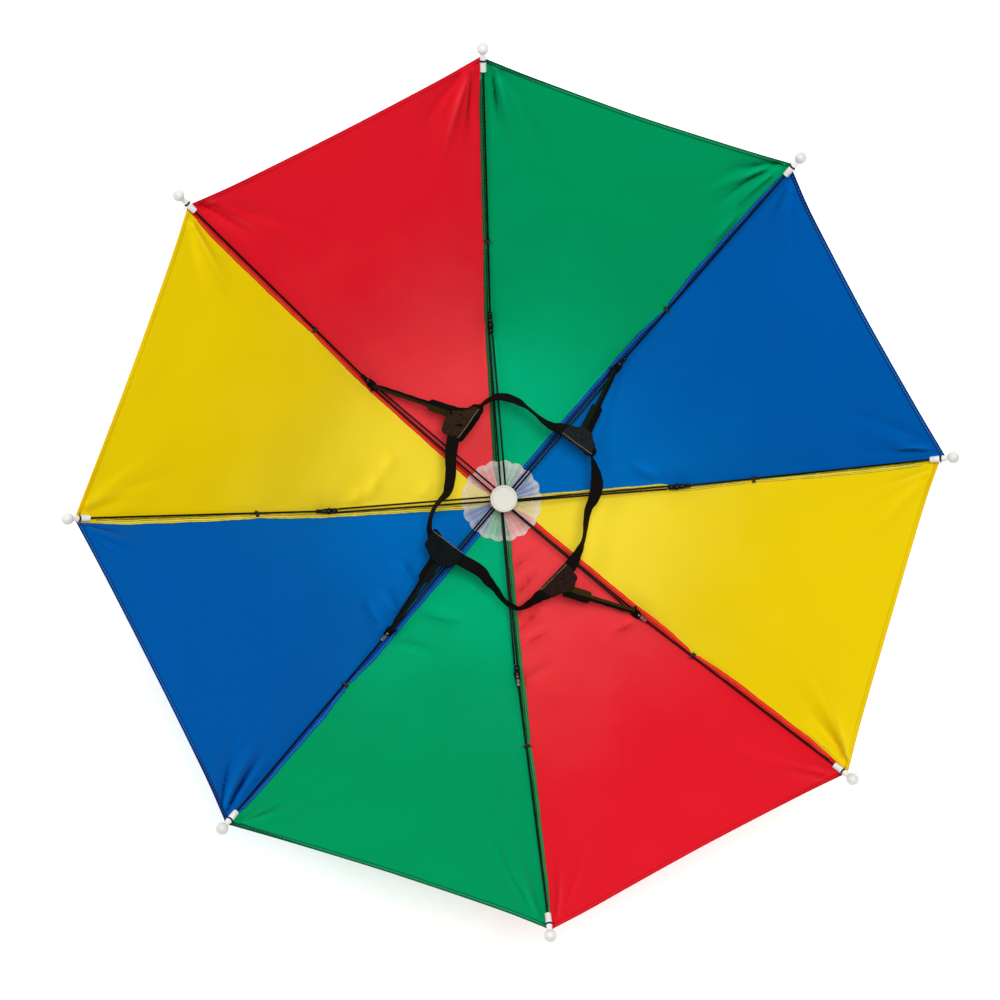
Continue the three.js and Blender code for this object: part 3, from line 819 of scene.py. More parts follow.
@dataclass(frozen=True)
class WovenElastic:
    """Black woven elastic with fine cords along it and picks across it, a painted reflection on one half.
    """

    name: str
    colour: Colour
    raised: Colour
    painted_reflection: Optional[Colour] = None

    def material(self) -> bpy.types.Material:
        """Make the finish, where the map runs along the band and across it.

        Returns:
            The material.
        """
        paint = Paint(self.name)
        along, across = paint.surface_place()
        cords = across.wave(0.95 * MM)
        picks = along.wave(0.8 * MM)
        fuzz = paint.noise(paint.place(), 700.0, 3.0)
        base = paint.mix(cords * 0.3 + picks * 0.12 + fuzz * 0.35, self.colour, self.raised)
        if self.painted_reflection is not None:
            # Painted reflection of the nearby cloth's colour on one half of the strap.
            half = across.ramp(-0.2 * MM, 0.5 * MM)
            base = paint.mix(half * (0.45 + fuzz * 0.3), base, self.painted_reflection)
        return paint.finish(
            Base_Color=base,
            Roughness=0.78,
            Normal=paint.bump(cords * 0.6 + picks * 0.3 + fuzz * 0.5, 0.22, 0.7),
            Specular_IOR_Level=0.08,
        )


@dataclass(frozen=True)
class Felt:
    """Dark felt with loose fibres and small pits over a black backing ply."""

    name: str
    colour: Colour
    fibre: Colour
    backing: Colour = shade(7, 6, 6)

    def material(self) -> bpy.types.Material:
        """Make the finish, where the map's second part is 1 on the upper ply.

        Returns:
            The material.
        """
        paint = Paint(self.name)
        place = paint.place()
        ply = paint.surface_place()[1].ramp(0.85, 0.95)
        fibres = paint.noise(place, 520.0, 5.0, (1.0, 2.6, 1.0))
        lumps = paint.noise(place, 170.0, 3.0)
        pits = paint.noise(place, 240.0, 1.0).ramp(0.64, 0.74)
        base = paint.mix(fibres.ramp(0.42, 0.72) * 0.7 + lumps * 0.2, self.colour, self.fibre)
        base = paint.mix(pits, base, self.backing)
        base = paint.mix(1 - ply, base, self.backing)
        return paint.finish(
            Base_Color=base,
            Roughness=0.95,
            Normal=paint.bump(fibres * 0.5 + lumps * 0.9 - pits * 0.6, 0.5, 0.8),
            Specular_IOR_Level=0.1,
        )


@dataclass(frozen=True)
class Thread:
    """Twisted sewing thread."""

    name: str
    colour: Colour
    glint: Colour

    def material(self) -> bpy.types.Material:
        """Make the finish, where the map runs along the thread and around it.

        Returns:
            The material.
        """
        paint = Paint(self.name)
        along, around = paint.surface_place()
        twist = (along * 900 + around).wave(1.0)
        return paint.finish(
            Base_Color=paint.mix(twist * 0.5 + 0.5, self.colour, self.glint),
            Roughness=0.6,
            Normal=paint.bump(twist, 0.1, 0.6),
            Specular_IOR_Level=0.2,
        )


@dataclass(frozen=True)
class FloorPaint:
    """Plain pale matt floor."""

    name: str = "pale_floor"
    colour: Colour = shade(250, 250, 250)
    cloud: Colour = shade(244, 244, 244)
    glow: Colour = shade(255, 255, 255)
    glow_strength: float = 0.5

    def material(self) -> bpy.types.Material:
        """Make the finish.

        Returns:
            The material.
        """
        paint = Paint(self.name)
        cloud = paint.noise(paint.place(), 3.0)
        return paint.finish(
            Base_Color=paint.mix(cloud * 0.2, self.colour, self.cloud),
            Roughness=0.9,
            Emission_Color=self.glow,
            Emission_Strength=self.glow_strength,
        )


@dataclass(frozen=True)
class Hues:
    """The colours of one of the hat's four cloths."""

    slot: str
    colour: Colour
    # light: a lighter copy of the colour, painted as light towards the crown and on fold ridges.
    light: Colour
    # hem: the hem's darker colour, also painted as shade in fold valleys and along the rim.
    hem: Colour
    # seam colours: lit and shaded copies of the cloth for the seam strips, painted light and shade.
    seam: Colour
    seam_shade: Colour
    stitch: Colour
    hem_strength: float


class ClothKind(Enum):
    """The four cloths, in the order in which they go round the hat."""

    GREEN = Hues(
        "cloth_green", shade(0, 146, 88), shade(4, 170, 118), shade(0, 66, 40),
        shade(30, 98, 54), shade(4, 50, 26), shade(120, 164, 130), 1.0,
    )
    BLUE = Hues(
        "cloth_blue", shade(0, 84, 162), shade(2, 104, 180), shade(0, 22, 84),
        shade(16, 88, 176), shade(0, 38, 100), shade(130, 166, 212), 0.9,
    )
    YELLOW = Hues(
        "cloth_yellow", shade(228, 198, 2), shade(240, 214, 54), shade(218, 162, 8),
        shade(252, 232, 76), shade(112, 100, 24), shade(150, 120, 20), 0.3,
    )
    RED = Hues(
        "cloth_red", shade(220, 22, 38), shade(232, 66, 70), shade(160, 4, 22),
        shade(255, 66, 46), shade(172, 22, 18), shade(242, 120, 110), 0.25,
    )


class Fade(Enum):
    """How a fold's height goes along it."""

    FROM_START = "strong near its start"
    MIDDLE = "strongest half way"


@dataclass(frozen=True)
class Fold:
    """A soft fold in one panel.

    A place is the radius of the canopy's eight-sided outline and the share of the way across the
    panel, clockwise. The fold runs from its start over its bend to its end.
    """

    panel: int
    start: tuple[float, float]
    bend: tuple[float, float]
    end: tuple[float, float]
    width: float
    lift: float
    fade: Fade = Fade.FROM_START
    crispness: float = 1.5

    @staticmethod
    def flat(radius: Union[float, Array], share: Union[float, Array]) -> Array:
        """Return a place as a run across and a run out from the crown."""
        radius, share = np.asarray(radius, dtype=float), np.asarray(share, dtype=float)
        return np.stack([(share - 0.5) * 2 * radius * math.sin(HALF), radius * math.cos(HALF)], -1)

    def relief(self, spots: Array) -> tuple[Array, Array]:
        """Return the fold's height and its painted crease shading over flat places.

        The middle line is (1-t)^2 start + 2t(1-t) bend + t^2 end. The height is the lift times the
        fade at the nearest t, times e to minus the crispness power of x, the distance over the
        width. With y a share of x, the crease shading is minus the lift and fade times
        (1-2y^2) e^(-y^2): painted shade where it is above zero, in a valley and beside a ridge, and
        painted highlight where it is below zero, on a ridge. It is wider and fainter in a fold that
        is strongest half way.

        Args:
            spots: flat places on the panel.

        Returns:
            The height in millimetres and the painted crease shading at each place.
        """
        t = np.linspace(0, 1, 28)[:, None]
        a, b, c = (self.flat(*place) for place in (self.start, self.bend, self.end))
        line = (1 - t) ** 2 * a + 2 * t * (1 - t) * b + t**2 * c
        away = np.linalg.norm(spots[..., None, :] - line, axis=-1)
        nearest = np.argmin(away, axis=-1)
        near = np.min(away, axis=-1)
        along = t[nearest, 0]
        if self.fade is Fade.FROM_START:
            strength = smooth(along / 0.08) * (1 - smooth((along - 0.35) / 0.65))
            spread = self.width * (0.7 + 0.6 * along)
            narrow, depth = 1.3, 1.0
        else:
            strength = 1.4 * np.sin(math.pi * along) ** 0.8
            spread = self.width * np.ones_like(along)
            narrow, depth = 0.9, 0.75
        x = near / spread
        height = self.lift * strength * np.exp(-(x**self.crispness))
        y = narrow * x
        return height, -self.lift * depth * strength * (1 - 2 * y**2) * np.exp(-(y**2))


FOLDS = (
    Fold(0, (310, 0.972), (305, 0.9), (288, 0.79), 3.8, -2.2),
    Fold(0, (310, 0.97), (297, 0.905), (258, 0.86), 3.6, -2.8),
    Fold(0, (309, 0.975), (300, 0.905), (276, 0.845), 3.4, 1.8),
    Fold(0, (302, 0.962), (290, 0.935), (252, 0.915), 3.0, 1.6),
    Fold(0, (272, 0.955), (257, 0.948), (240, 0.94), 4.0, 1.2, Fade.MIDDLE),
    Fold(0, (310, 0.03), (296, 0.07), (268, 0.1), 5.0, 1.5),
    Fold(0, (308, 0.035), (288, 0.045), (258, 0.05), 3.4, -1.8),
    Fold(0, (309, 0.05), (300, 0.12), (286, 0.19), 4.5, -0.8),
    Fold(1, (308, 0.03), (292, 0.1), (266, 0.14), 6.0, 1.2),
    Fold(1, (305, 0.962), (295, 0.93), (282, 0.95), 2.6, 1.6, Fade.MIDDLE),
    Fold(1, (107, 0.7), (115, 0.82), (122, 0.92), 3.6, 1.1, Fade.MIDDLE),
    Fold(2, (311, 0.972), (298, 0.93), (268, 0.885), 3.6, -1.9),
    Fold(2, (311, 0.965), (302, 0.88), (280, 0.8), 5.4, 1.9),
    Fold(2, (310, 0.98), (292, 0.965), (262, 0.95), 4.0, 1.3),
    Fold(2, (309, 0.03), (296, 0.06), (276, 0.09), 4.2, 1.0),
    Fold(3, (310, 0.01), (302, 0.05), (284, 0.06), 4.0, 1.4),
    Fold(3, (312, 0.05), (300, 0.11), (286, 0.14), 5.0, 1.0),
    Fold(3, (57, 0.97), (50, 0.7), (50, 0.26), 3.2, -1.3, Fade.MIDDLE),
    Fold(3, (75, 0.95), (71, 0.75), (64, 0.5), 3.2, -1.6, Fade.MIDDLE),
    Fold(3, (93, 0.97), (87, 0.74), (80, 0.45), 3.6, 1.7, Fade.MIDDLE),
    Fold(3, (103, 0.97), (98, 0.82), (94, 0.64), 3.0, -1.3, Fade.MIDDLE),
    Fold(3, (115, 0.97), (112, 0.8), (114, 0.62), 3.4, -1.4, Fade.MIDDLE),
    Fold(3, (141, 0.975), (142, 0.84), (138, 0.68), 4.0, 1.1, Fade.MIDDLE),
    Fold(3, (138, 0.05), (136, 0.14), (140, 0.26), 3.6, -1.6, Fade.MIDDLE),
    Fold(3, (308, 0.97), (292, 0.94), (262, 0.9), 5.0, 1.2),
    Fold(4, (107, 0.95), (111, 0.68), (105, 0.48), 4.5, -1.3, Fade.MIDDLE),
    Fold(4, (139, 0.94), (142, 0.74), (137, 0.58), 4.0, 1.0, Fade.MIDDLE),
    Fold(4, (310, 0.965), (300, 0.9), (284, 0.84), 4.2, 1.4),
    Fold(4, (309, 0.03), (294, 0.06), (262, 0.08), 5.0, 1.1),
    Fold(5, (311, 0.03), (298, 0.13), (270, 0.17), 4.0, -2.3),
    Fold(5, (310, 0.03), (293, 0.095), (258, 0.135), 5.0, 2.2),
    Fold(5, (309, 0.025), (290, 0.055), (262, 0.085), 3.7, -2.0),
    Fold(5, (296, 0.03), (280, 0.035), (256, 0.045), 3.2, 1.2),
    Fold(5, (96, 0.45), (99, 0.26), (96, 0.1), 3.2, 1.3, Fade.MIDDLE),
    Fold(5, (120, 0.3), (122, 0.13), (116, 0.02), 3.4, 1.5, Fade.MIDDLE),
    Fold(5, (139, 0.32), (140, 0.2), (136, 0.06), 3.4, -1.2, Fade.MIDDLE),
    Fold(5, (308, 0.97), (296, 0.93), (274, 0.89), 4.2, 1.3),
    Fold(6, (308, 0.97), (286, 0.905), (258, 0.86), 4.2, 1.4),
    Fold(6, (115, 0.02), (114, 0.1), (112, 0.2), 4.2, 0.7, Fade.MIDDLE),
    Fold(6, (105, 0.08), (104, 0.22), (102, 0.36), 4.2, 0.8, Fade.MIDDLE),
    Fold(6, (99, 0.32), (98, 0.46), (96, 0.6), 4.2, 0.55, Fade.MIDDLE),
    Fold(6, (62, 0.12), (61, 0.28), (60, 0.46), 4.0, 0.6, Fade.MIDDLE),
    Fold(6, (309, 0.03), (297, 0.08), (276, 0.12), 4.4, 1.2),
    Fold(7, (310, 0.03), (295, 0.07), (262, 0.1), 3.4, -2.4),
    Fold(7, (311, 0.05), (299, 0.1), (280, 0.13), 4.0, 1.6),
    Fold(7, (309, 0.97), (295, 0.93), (270, 0.9), 4.6, 1.3),
    Fold(7, (308, 0.96), (286, 0.945), (256, 0.935), 3.2, -1.7),
    Fold(7, (308, 0.945), (288, 0.87), (258, 0.82), 6.0, 1.6),
    Fold(7, (309, 0.93), (298, 0.82), (280, 0.73), 5.0, -1.1),
    Fold(7, (306, 0.06), (288, 0.13), (262, 0.19), 6.0, -1.0),
)


def corner_fan(panel: int, chance: np.random.Generator, count: int = 5) -> list[Fold]:
    """Return small folds that spread from both of a panel's outer corners.

    Args:
        panel: the panel.
        chance: the source of their seeded spread.
        count: the number at each corner.

    Returns:
        The folds, ridges and valleys in turn.
    """
    folds = []
    for far in (False, True):
        for step in range(count):
            lean = 0.05 + 0.055 * step + chance.uniform(-0.015, 0.015)
            length = chance.uniform(26, 70)
            shares = [0.022 + 0.006 * step, 0.022 + lean * 0.5, 0.03 + lean]
            shares = [1 - share for share in shares] if far else shares
            radii = (309 - 0.5 * step, 300 - 0.1 * length, 300 - length)
            lift = (1 if step % 2 else -1) * chance.uniform(0.35, 0.85)
            places = list(zip(radii, shares))
            folds.append(Fold(panel, *places, chance.uniform(2.6, 4.4), lift))
    return folds


# How far each panel's rim is drawn out past its cut, in millimetres, at stops from rib to rib.
RIM_STOPS = (0.0, 0.12, 0.5, 0.88, 1.0)
RIM_DRAW = (
    (3.0, 1.9, 0.8, 2.1, 3.0),
    (0.0, -1.8, -0.2, 3.0, 4.4),
    (0.4, -0.4, 1.9, 3.0, 4.2),
    (2.5, 2.2, 3.2, 5.4, 4.6),
    (3.8, 2.3, 2.2, 3.4, 4.0),
    (3.9, 2.6, 3.1, 3.2, 3.5),
    (3.4, 3.0, 0.7, -1.2, -0.9),
    (-0.8, -1.5, 0.4, 2.7, 4.4),
)


@dataclass(frozen=True)
class CanopyForm:
    """The canopy's inner face over the ribs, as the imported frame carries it."""

    tip_radius: float = 320.0
    joint_radius: float = 131.5
    joint_height: float = 28.0
    outer_slope: float = math.radians(29)
    knuckle_slope: float = math.radians(18)
    knuckle_length: float = 12.5
    knuckle_height: float = 4.8
    knuckle_taper: float = 1.2
    knee_room: float = 0.7
    gap: float = 0.3
    cap_radius: float = 14.5
    cloth_on_cap: float = 4.5
    hole_radius: float = 5.4
    tie_radius: float = 185.7
    wire_clearance: tuple[float, ...] = (1.0, 2.7, 2.7)
    groove_middle: float = 9.1
    sleeve_end: float = 17.4
    rim_bow: float = 1.2
    sag: float = 4.0
    sag_turn: float = math.radians(162)
    seam: float = 4.0
    seam_shares: tuple[float, ...] = (0, 0.1, 0.5, 0.575, 0.595, 0.615, 0.7, 0.9, 1)
    seam_offsets: tuple[float, ...] = (0.1, 1, 1, 0.85, 0.55, 0.85, 1, 1, 0.6)
    seam_pinch: tuple[float, ...] = (0.85, 0.12, 0.6, 0.25, 0.6, 0.3, 0.75, 0.8)
    seam_inner: tuple[float, ...] = (1.0, 1.22, 0.75, 1.35, 1.22, 1.3, 1.15, 1.08)
    seam_outer: tuple[float, ...] = (0.85, 0.85, 1.1, 1.25, 0.8, 0.95, 1.35, 1.25)
    tie_radii: tuple[float, ...] = (190.9, 185.2, 185.8, 182.4, 185.9, 184.6, 185.6, 188.4)
    crossing_rib: int = 2
    crossing_start: float = 122.0
    crossing_length: float = 16.0
    blend: float = 28.0

    @property
    def cloth_radius(self) -> float:
        """Radius of the cloth's corners, at the groove of the tip cap."""
        return self.tip_radius - self.groove_middle * math.cos(self.outer_slope)

    def axis_height(self, radius: Union[float, Array]) -> Array:
        """Height of the outer rib's axis: the joint's plus the run times the slope."""
        return self.joint_height + (np.asarray(radius) - self.joint_radius) * math.tan(self.outer_slope)

    def stations(self) -> tuple[Array, Array]:
        """Find where the cloth is carried along a rib.

        Returns:
            The radii and the heights.
        """
        tilt, reach, deep = self.knuckle_slope, self.knuckle_length / 2, self.knuckle_height / 2
        radii = [self.hole_radius, self.cap_radius]
        heights = [self.cloth_on_cap, self.cloth_on_cap]
        for along in (-reach, reach - self.knuckle_taper):
            radii.append(self.joint_radius + along * math.cos(tilt) + deep * math.sin(tilt))
            low = self.joint_height + along * math.sin(tilt) - deep * math.cos(tilt)
            heights.append(low - self.knee_room)
        foot = self.tip_radius - self.sleeve_end * math.cos(self.outer_slope)
        for radius, wire in zip((self.tie_radius, foot, self.cloth_radius), self.wire_clearance):
            radii.append(radius)
            down = (wire + self.gap) / math.cos(self.outer_slope)
            heights.append(float(self.axis_height(radius)) - down)
        return np.array(radii), np.array(heights)

    def height(self, radius: Array) -> Array:
        """Return the cloth's height along a rib, straight between its stations and past the last.

        Args:
            radius: the places' radii.

        Returns:
            The heights in millimetres.
        """
        radii, heights = self.stations()
        beyond = np.maximum(np.asarray(radius) - radii[-1], 0) * math.tan(self.outer_slope)
        return np.interp(radius, radii, heights) + beyond

    def soft_height(self, radius: Array) -> Array:
        """Return the height away from the ribs: the mean of nine heights within the blend.

        Args:
            radius: the places' radii.

        Returns:
            The heights in millimetres.
        """
        offsets = np.linspace(-self.blend, self.blend, 9)
        low, high = self.hole_radius, self.cloth_radius
        near = np.minimum(np.minimum(radius - low, np.maximum(high - radius, 3)) / self.blend, 1.0)
        near = np.clip(near, 0.0, 1.0)
        return np.mean([self.height(radius + near * offset) for offset in offsets], axis=0)

    def seam_width(self, rib: int, share: Array) -> Array:
        """Return a rib's own full offset of the seam, eased between its inner and outer part."""
        inner, outer = self.seam_inner[rib % RIBS], self.seam_outer[rib % RIBS]
        return self.seam * (inner + (outer - inner) * smooth((share - 0.55) / 0.35))

    def crossed(self, radius: Array) -> Array:
        """Return the share of its way under the wire that the crossing rib's seam has gone."""
        return smooth((np.asarray(radius) - self.crossing_start) / self.crossing_length)

    def seam_at(self, rib: int, radius: Array) -> Array:
        """Return how far the seam lies to the counter-clockwise side of a rib.

        The offset is the seam's times a smooth table over the radius, at most a third of the
        panel's side. On one rib it comes back under the wire outside the joint.

        Args:
            rib: the rib.
            radius: the places' radii.

        Returns:
            The offsets in millimetres.
        """
        share = np.asarray(radius) / self.cloth_radius
        shift = (self.tie_radii[rib % RIBS] - self.tie_radius) / self.cloth_radius
        stops = np.array(self.seam_shares)
        stops[3:6] += shift
        offsets = np.array(self.seam_offsets)
        offsets[4] = self.seam_pinch[rib % RIBS]
        offsets[3] = offsets[5] = (1 + offsets[4]) / 2
        place = np.interp(share, stops, np.arange(len(stops)))
        low = np.floor(place)
        eased = low + smooth(place - low)
        offset = self.seam_width(rib, share) * np.interp(eased, np.arange(len(stops)), offsets)
        if rib % RIBS == self.crossing_rib:
            offset = offset * (1 - self.crossed(radius)) + 0.1
        return np.minimum(offset, 2 * np.asarray(radius) * math.sin(HALF) / 3)

    def point(self, rib: int, radius: Array, run: Array, extra: Union[float, Array] = 0.0) -> Array:
        """Return points of the inner face.

        A run from the rib goes along the eight-sided outline whose corners have the given radius.
        The rim's side bows in by the rim bow times 4s(1-s), where s is the run's share of the side.
        The point then stands off along the cloth's inward normal by the sag, times the same arch,
        plus the extra.

        Args:
            rib: the rib that the run starts from.
            radius: the outline's radius.
            run: the run, positive clockwise.
            extra: more height along the normal.

        Returns:
            The points in millimetres.
        """
        side = 2 * radius * math.sin(HALF)
        share = np.clip(np.abs(run) / side, 0, 1)
        arch = 4 * share * (1 - share)
        corner = radius - self.rim_bow * arch * (radius / self.cloth_radius) ** 6
        turn = np.where(np.asarray(run) >= 0, -1.0, 1.0)
        along = np.abs(run) * corner / radius
        slope = np.arctan(self.height(corner + 0.5) - self.height(corner - 0.5))
        reach = radius / self.cloth_radius
        sag = self.sag * smooth(2 * reach) * np.sin(self.sag_turn * reach)
        lift = arch * sag + extra
        ease = smooth(1.6 * arch)
        level = self.height(corner) * (1 - ease) + self.soft_height(corner) * ease
        x = corner - along * math.sin(HALF) - math.cos(HALF) * lift * np.sin(slope)
        y = turn * along * math.cos(HALF) + turn * math.sin(HALF) * lift * np.sin(slope)
        z = level + lift * np.cos(slope)
        return turned_about(np.stack(np.broadcast_arrays(x, y, z), axis=-1), rib_angle(rib))


@dataclass
class Assembly:
    """Something that is fitted to the canopy's form."""

    form: CanopyForm = field(default_factory=CanopyForm)


@dataclass
class Canopy(Assembly):
    """Eight panels of cloth, each with its hem, and the allowance of the seam along each rib."""

    wall: float = 0.45
    hem_rise: float = 0.45
    fold_gain: float = 1.8
    # Panels whose map runs the other way, so the rolled hem's painted shade falls at their other corner.
    turned_hems: tuple[int, ...] = (4,)
    edge_tuck: float = 0.2
    strip_wall: float = 0.4
    strip_start: float = 16.0
    strip_end: float = 301.0
    wire_side: float = 0.95
    # Painted light: a brightness gain for each rib's seam strip.
    seam_light_gains: tuple[float, ...] = (1.0, 0.9, 0.9, 0.95, 2.0, 1.15, 0.9, 0.85)
    knee_reach: float = 6.0
    corner_start: float = 248.0
    row_counts: tuple[int, ...] = (5, 36, 7, 38, 36)
    hem_rows: tuple[float, ...] = (6.5, 5.0, 4.2, 3.7, 3.4, 3.0, 2.2, 1.2, 0.5, 0.15, 0.0)
    columns: int = 92
    edge_columns: tuple[float, ...] = (0.0, 0.3, 0.8, 1.6)
    full_spread: float = 14.0
    ripples: int = 6
    ripple_height: float = 0.22
    still_radius: float = 34.0
    rim_reach: float = 70.0

    def rows(self) -> Array:
        """Space a panel's rows.

        Returns:
            Their outline radii, close together near the joint and the rim.
        """
        form = self.form
        hem = form.cloth_radius - np.array(self.hem_rows) * math.cos(form.outer_slope)
        knee = (form.joint_radius - self.knee_reach, form.joint_radius + self.knee_reach)
        stops = (form.hole_radius, form.cap_radius, *knee, self.corner_start, hem[0])
        spans = zip(stops[:-1], stops[1:], self.row_counts)
        return np.concatenate([*(np.linspace(*span)[:-1] for span in spans), hem])

    def runs(self, rib: int, radius: Array) -> tuple[Array, Array]:
        """Return where a panel's columns lie.

        Args:
            rib: the panel's first rib.
            radius: the outline radii of its rows.

        Returns:
            Each point's run from the rib, and its distance from the nearer edge of the panel.
        """
        side = 2 * radius * math.sin(HALF)
        left = -self.form.seam_at(rib, radius)
        right = side - self.form.seam_at(rib + 1, radius)
        near = np.array(self.edge_columns)
        scale = np.minimum(1.0, (right - left) / self.full_spread)
        t = np.linspace(0, 1, self.columns + 2)[1:-1]
        even = 0.55 * t + 0.45 * (0.5 - 0.5 * np.cos(math.pi * t))
        low, high = left + near[-1] * scale, right - near[-1] * scale
        columns = [left[:, None] + scale[:, None] * near]
        columns.append(low[:, None] + (high - low)[:, None] * even)
        columns.append(right[:, None] - scale[:, None] * near[::-1])
        run = np.concatenate(columns, axis=1)
        return run, np.minimum(run - left[:, None], right[:, None] - run)

    def lifts(self, rib: int, radius: Array, run: Array, edge: Array) -> tuple[Array, Array]:
        """Return the height of a panel's folds, ripples, hem and tucked edges, and its crease shading.

        The ripples are sine waves of 30 to 90 mm in seeded directions. Folds and ripples fade out
        within 6 mm of a rib and of the panel's edges, and under the crown's rosette.

        Args:
            rib: the panel's first rib.
            radius: each point's outline radius.
            run: its run from the rib.
            edge: its distance from the nearer of the panel's two edges.

        Returns:
            The height over the plain cloth in millimetres, and the creases' painted shade and highlight.
        """
        side = 2 * radius * math.sin(HALF)
        share = run / side
        spots = Fold.flat(radius, share)
        clear = smooth(np.minimum(run - 1.5, side - run - 1.5) / 6) * smooth(edge / 4)
        clear = clear * smooth((radius - self.still_radius) / 16)
        chance = np.random.default_rng(40 + rib)
        folds = [fold for fold in FOLDS if fold.panel == rib] + corner_fan(rib, chance)
        lift, crease_shading = np.sum([fold.relief(spots) for fold in folds], axis=0)
        lift = lift * self.fold_gain
        for _ in range(self.ripples):
            length, lean = chance.uniform(30, 90), chance.uniform(0, math.pi)
            start = chance.uniform(0, 6.28)
            wave = spots[..., 0] * math.cos(lean) + spots[..., 1] * math.sin(lean)
            rise = length / 90 * self.ripple_height
            lift = lift + rise * np.sin(2 * math.pi * wave / length + start)
        inward = (self.form.cloth_radius - radius) / math.cos(self.form.outer_slope)
        hem = self.hem_rise * (1 - smooth((inward - 3.2) / 0.4)) * smooth(inward / 0.3)
        hem = hem * smooth((np.minimum(run, side - run) - 2.5) / 3)
        tuck = self.edge_tuck * (1 - smooth(edge / 1.4))
        return lift * clear * smooth(inward / 5) + hem + tuck, crease_shading * smooth(edge / 3)

    def reach(self, rib: int, radius: Array, share: Array) -> Array:
        """Return how far a panel is drawn out towards its rim.

        The draw at the rim is straight between its stops and averaged over a tenth of the side. It
        eases in on the way to the rim.

        Args:
            rib: the panel's first rib.
            radius: each point's outline radius.
            share: its share of the way across the panel.

        Returns:
            The draw in millimetres.
        """
        steps = np.linspace(-0.05, 0.05, 5)
        draw = [np.interp(share + step, RIM_STOPS, RIM_DRAW[rib]) for step in steps]
        inward = self.form.cloth_radius - radius
        return np.mean(draw, axis=0) * smooth((self.rim_reach - inward) / self.rim_reach)

    def panel(self, rib: int) -> Grid:
        """Return one panel's inner face.

        Args:
            rib: the panel's first rib.

        Returns:
            The face, mapped by the run along the rim and in from it, with its painted crease shading.
        """
        rows = self.rows()
        run, edge = self.runs(rib, rows)
        radius = np.broadcast_to(rows[:, None], run.shape)
        drawn = radius + self.reach(rib, radius, run / (2 * radius * math.sin(HALF)))
        lift, crease_shading = self.lifts(rib, radius, run, edge)
        points = self.form.point(rib, drawn, run * drawn / radius, lift)
        inward = (self.form.cloth_radius - radius) / math.cos(self.form.outer_slope)
        if rib in self.turned_hems:
            run = 2 * radius * math.sin(HALF) - run
        return Grid(points, np.stack([run, inward], axis=-1) * MM, crease_shading)

    def strip(self, rib: int) -> Grid:
        """Return the ruffled allowance beside one rib.

        It runs from the seam to just beside the wire. Its outer edge wanders by two sine waves, and
        it stands up between its edges by the sine of the share across, with small ruffles.

        Args:
            rib: the rib.

        Returns:
            Its upper face, mapped by the run along it and the width from its wire's side.
        """
        chance = np.random.default_rng(80 + rib)
        a, b, c = chance.uniform(0, 6.28, 3)
        radius = np.linspace(self.strip_start, self.strip_end, 330)[:, None]
        across = np.linspace(0, 1, 10)[None, :]
        offset = self.form.seam_at(rib, radius)
        sense = np.ones_like(radius)
        if rib == self.form.crossing_rib:
            sense = 1 - 2 * self.form.crossed(radius)
            share = radius / self.form.cloth_radius
            pinch = np.interp(share, self.form.seam_shares, self.form.seam_offsets)
            offset = self.form.seam_width(rib, share) * pinch
        narrow = smooth((radius - 14) / 20)
        ruffle = 0.06 * np.sin(radius / 1.25 + a) + 0.12 * np.sin(radius / 4.4 + b)
        outer = np.maximum(offset + 0.35 + ruffle * narrow, self.wire_side + 0.7)
        wire = self.wire_side + 0.12 * np.sin(radius / 2.1 + c)
        place = sense * (outer + (wire - outer) * across)
        puff = np.sin(math.pi * (0.08 + 0.84 * across)) ** 0.7
        wave = 0.12 * np.sin(radius / 3.5 + 5 * across + b) + 0.07 * np.sin(radius / 0.9 - 4 * across + c)
        lift = (0.25 + (0.55 + wave) * puff * smooth((radius - 31) / 14)) * np.abs(sense) + 0.22
        radius = np.broadcast_to(radius, place.shape)
        points = self.form.point(rib, radius, -place, lift)
        width = np.broadcast_to((outer - wire) * across, place.shape)
        return Grid(points, np.stack([radius, width], axis=-1) * MM)

    def seam_cloth(self, rib: int, hues: Hues) -> SeamCloth:
        """Return a strip's finish: its cloth's lit and shaded seam colours times the rib's painted light.
        """
        light, shaded_colour = (toned(colour, self.seam_light_gains[rib]) for colour in (hues.seam, hues.seam_shade))
        return SeamCloth(f"seam_cloth_{rib + 1}", light, shaded_colour, hues.stitch)

    def build(self) -> None:
        """Make and dress the panels and strips."""
        kinds = list(ClothKind)
        cloths = {}
        for kind in kinds:
            hues = kind.value
            look = (hues.colour, hues.light, hues.hem, hues.stitch, hues.hem_strength)
            cloths[kind] = PanelCloth(f"{kind.name.lower()}_cloth", *look).material()
        for rib in range(RIBS):
            kind = kinds[rib % len(kinds)]
            grid = self.panel(rib)
            piece = make_piece(f"panel_cloth_{rib + 1}", [grid], Facing.UP)
            give_wall(piece, self.wall)
            settle(piece, cloths[kind], [f"canopy_panel_{rib + 1}"])
            strip = make_piece(f"seam_strip_{rib + 1}", [self.strip(rib)], Facing.UP)
            give_wall(strip, self.strip_wall)
            settle(strip, self.seam_cloth(rib, kind.value).material())


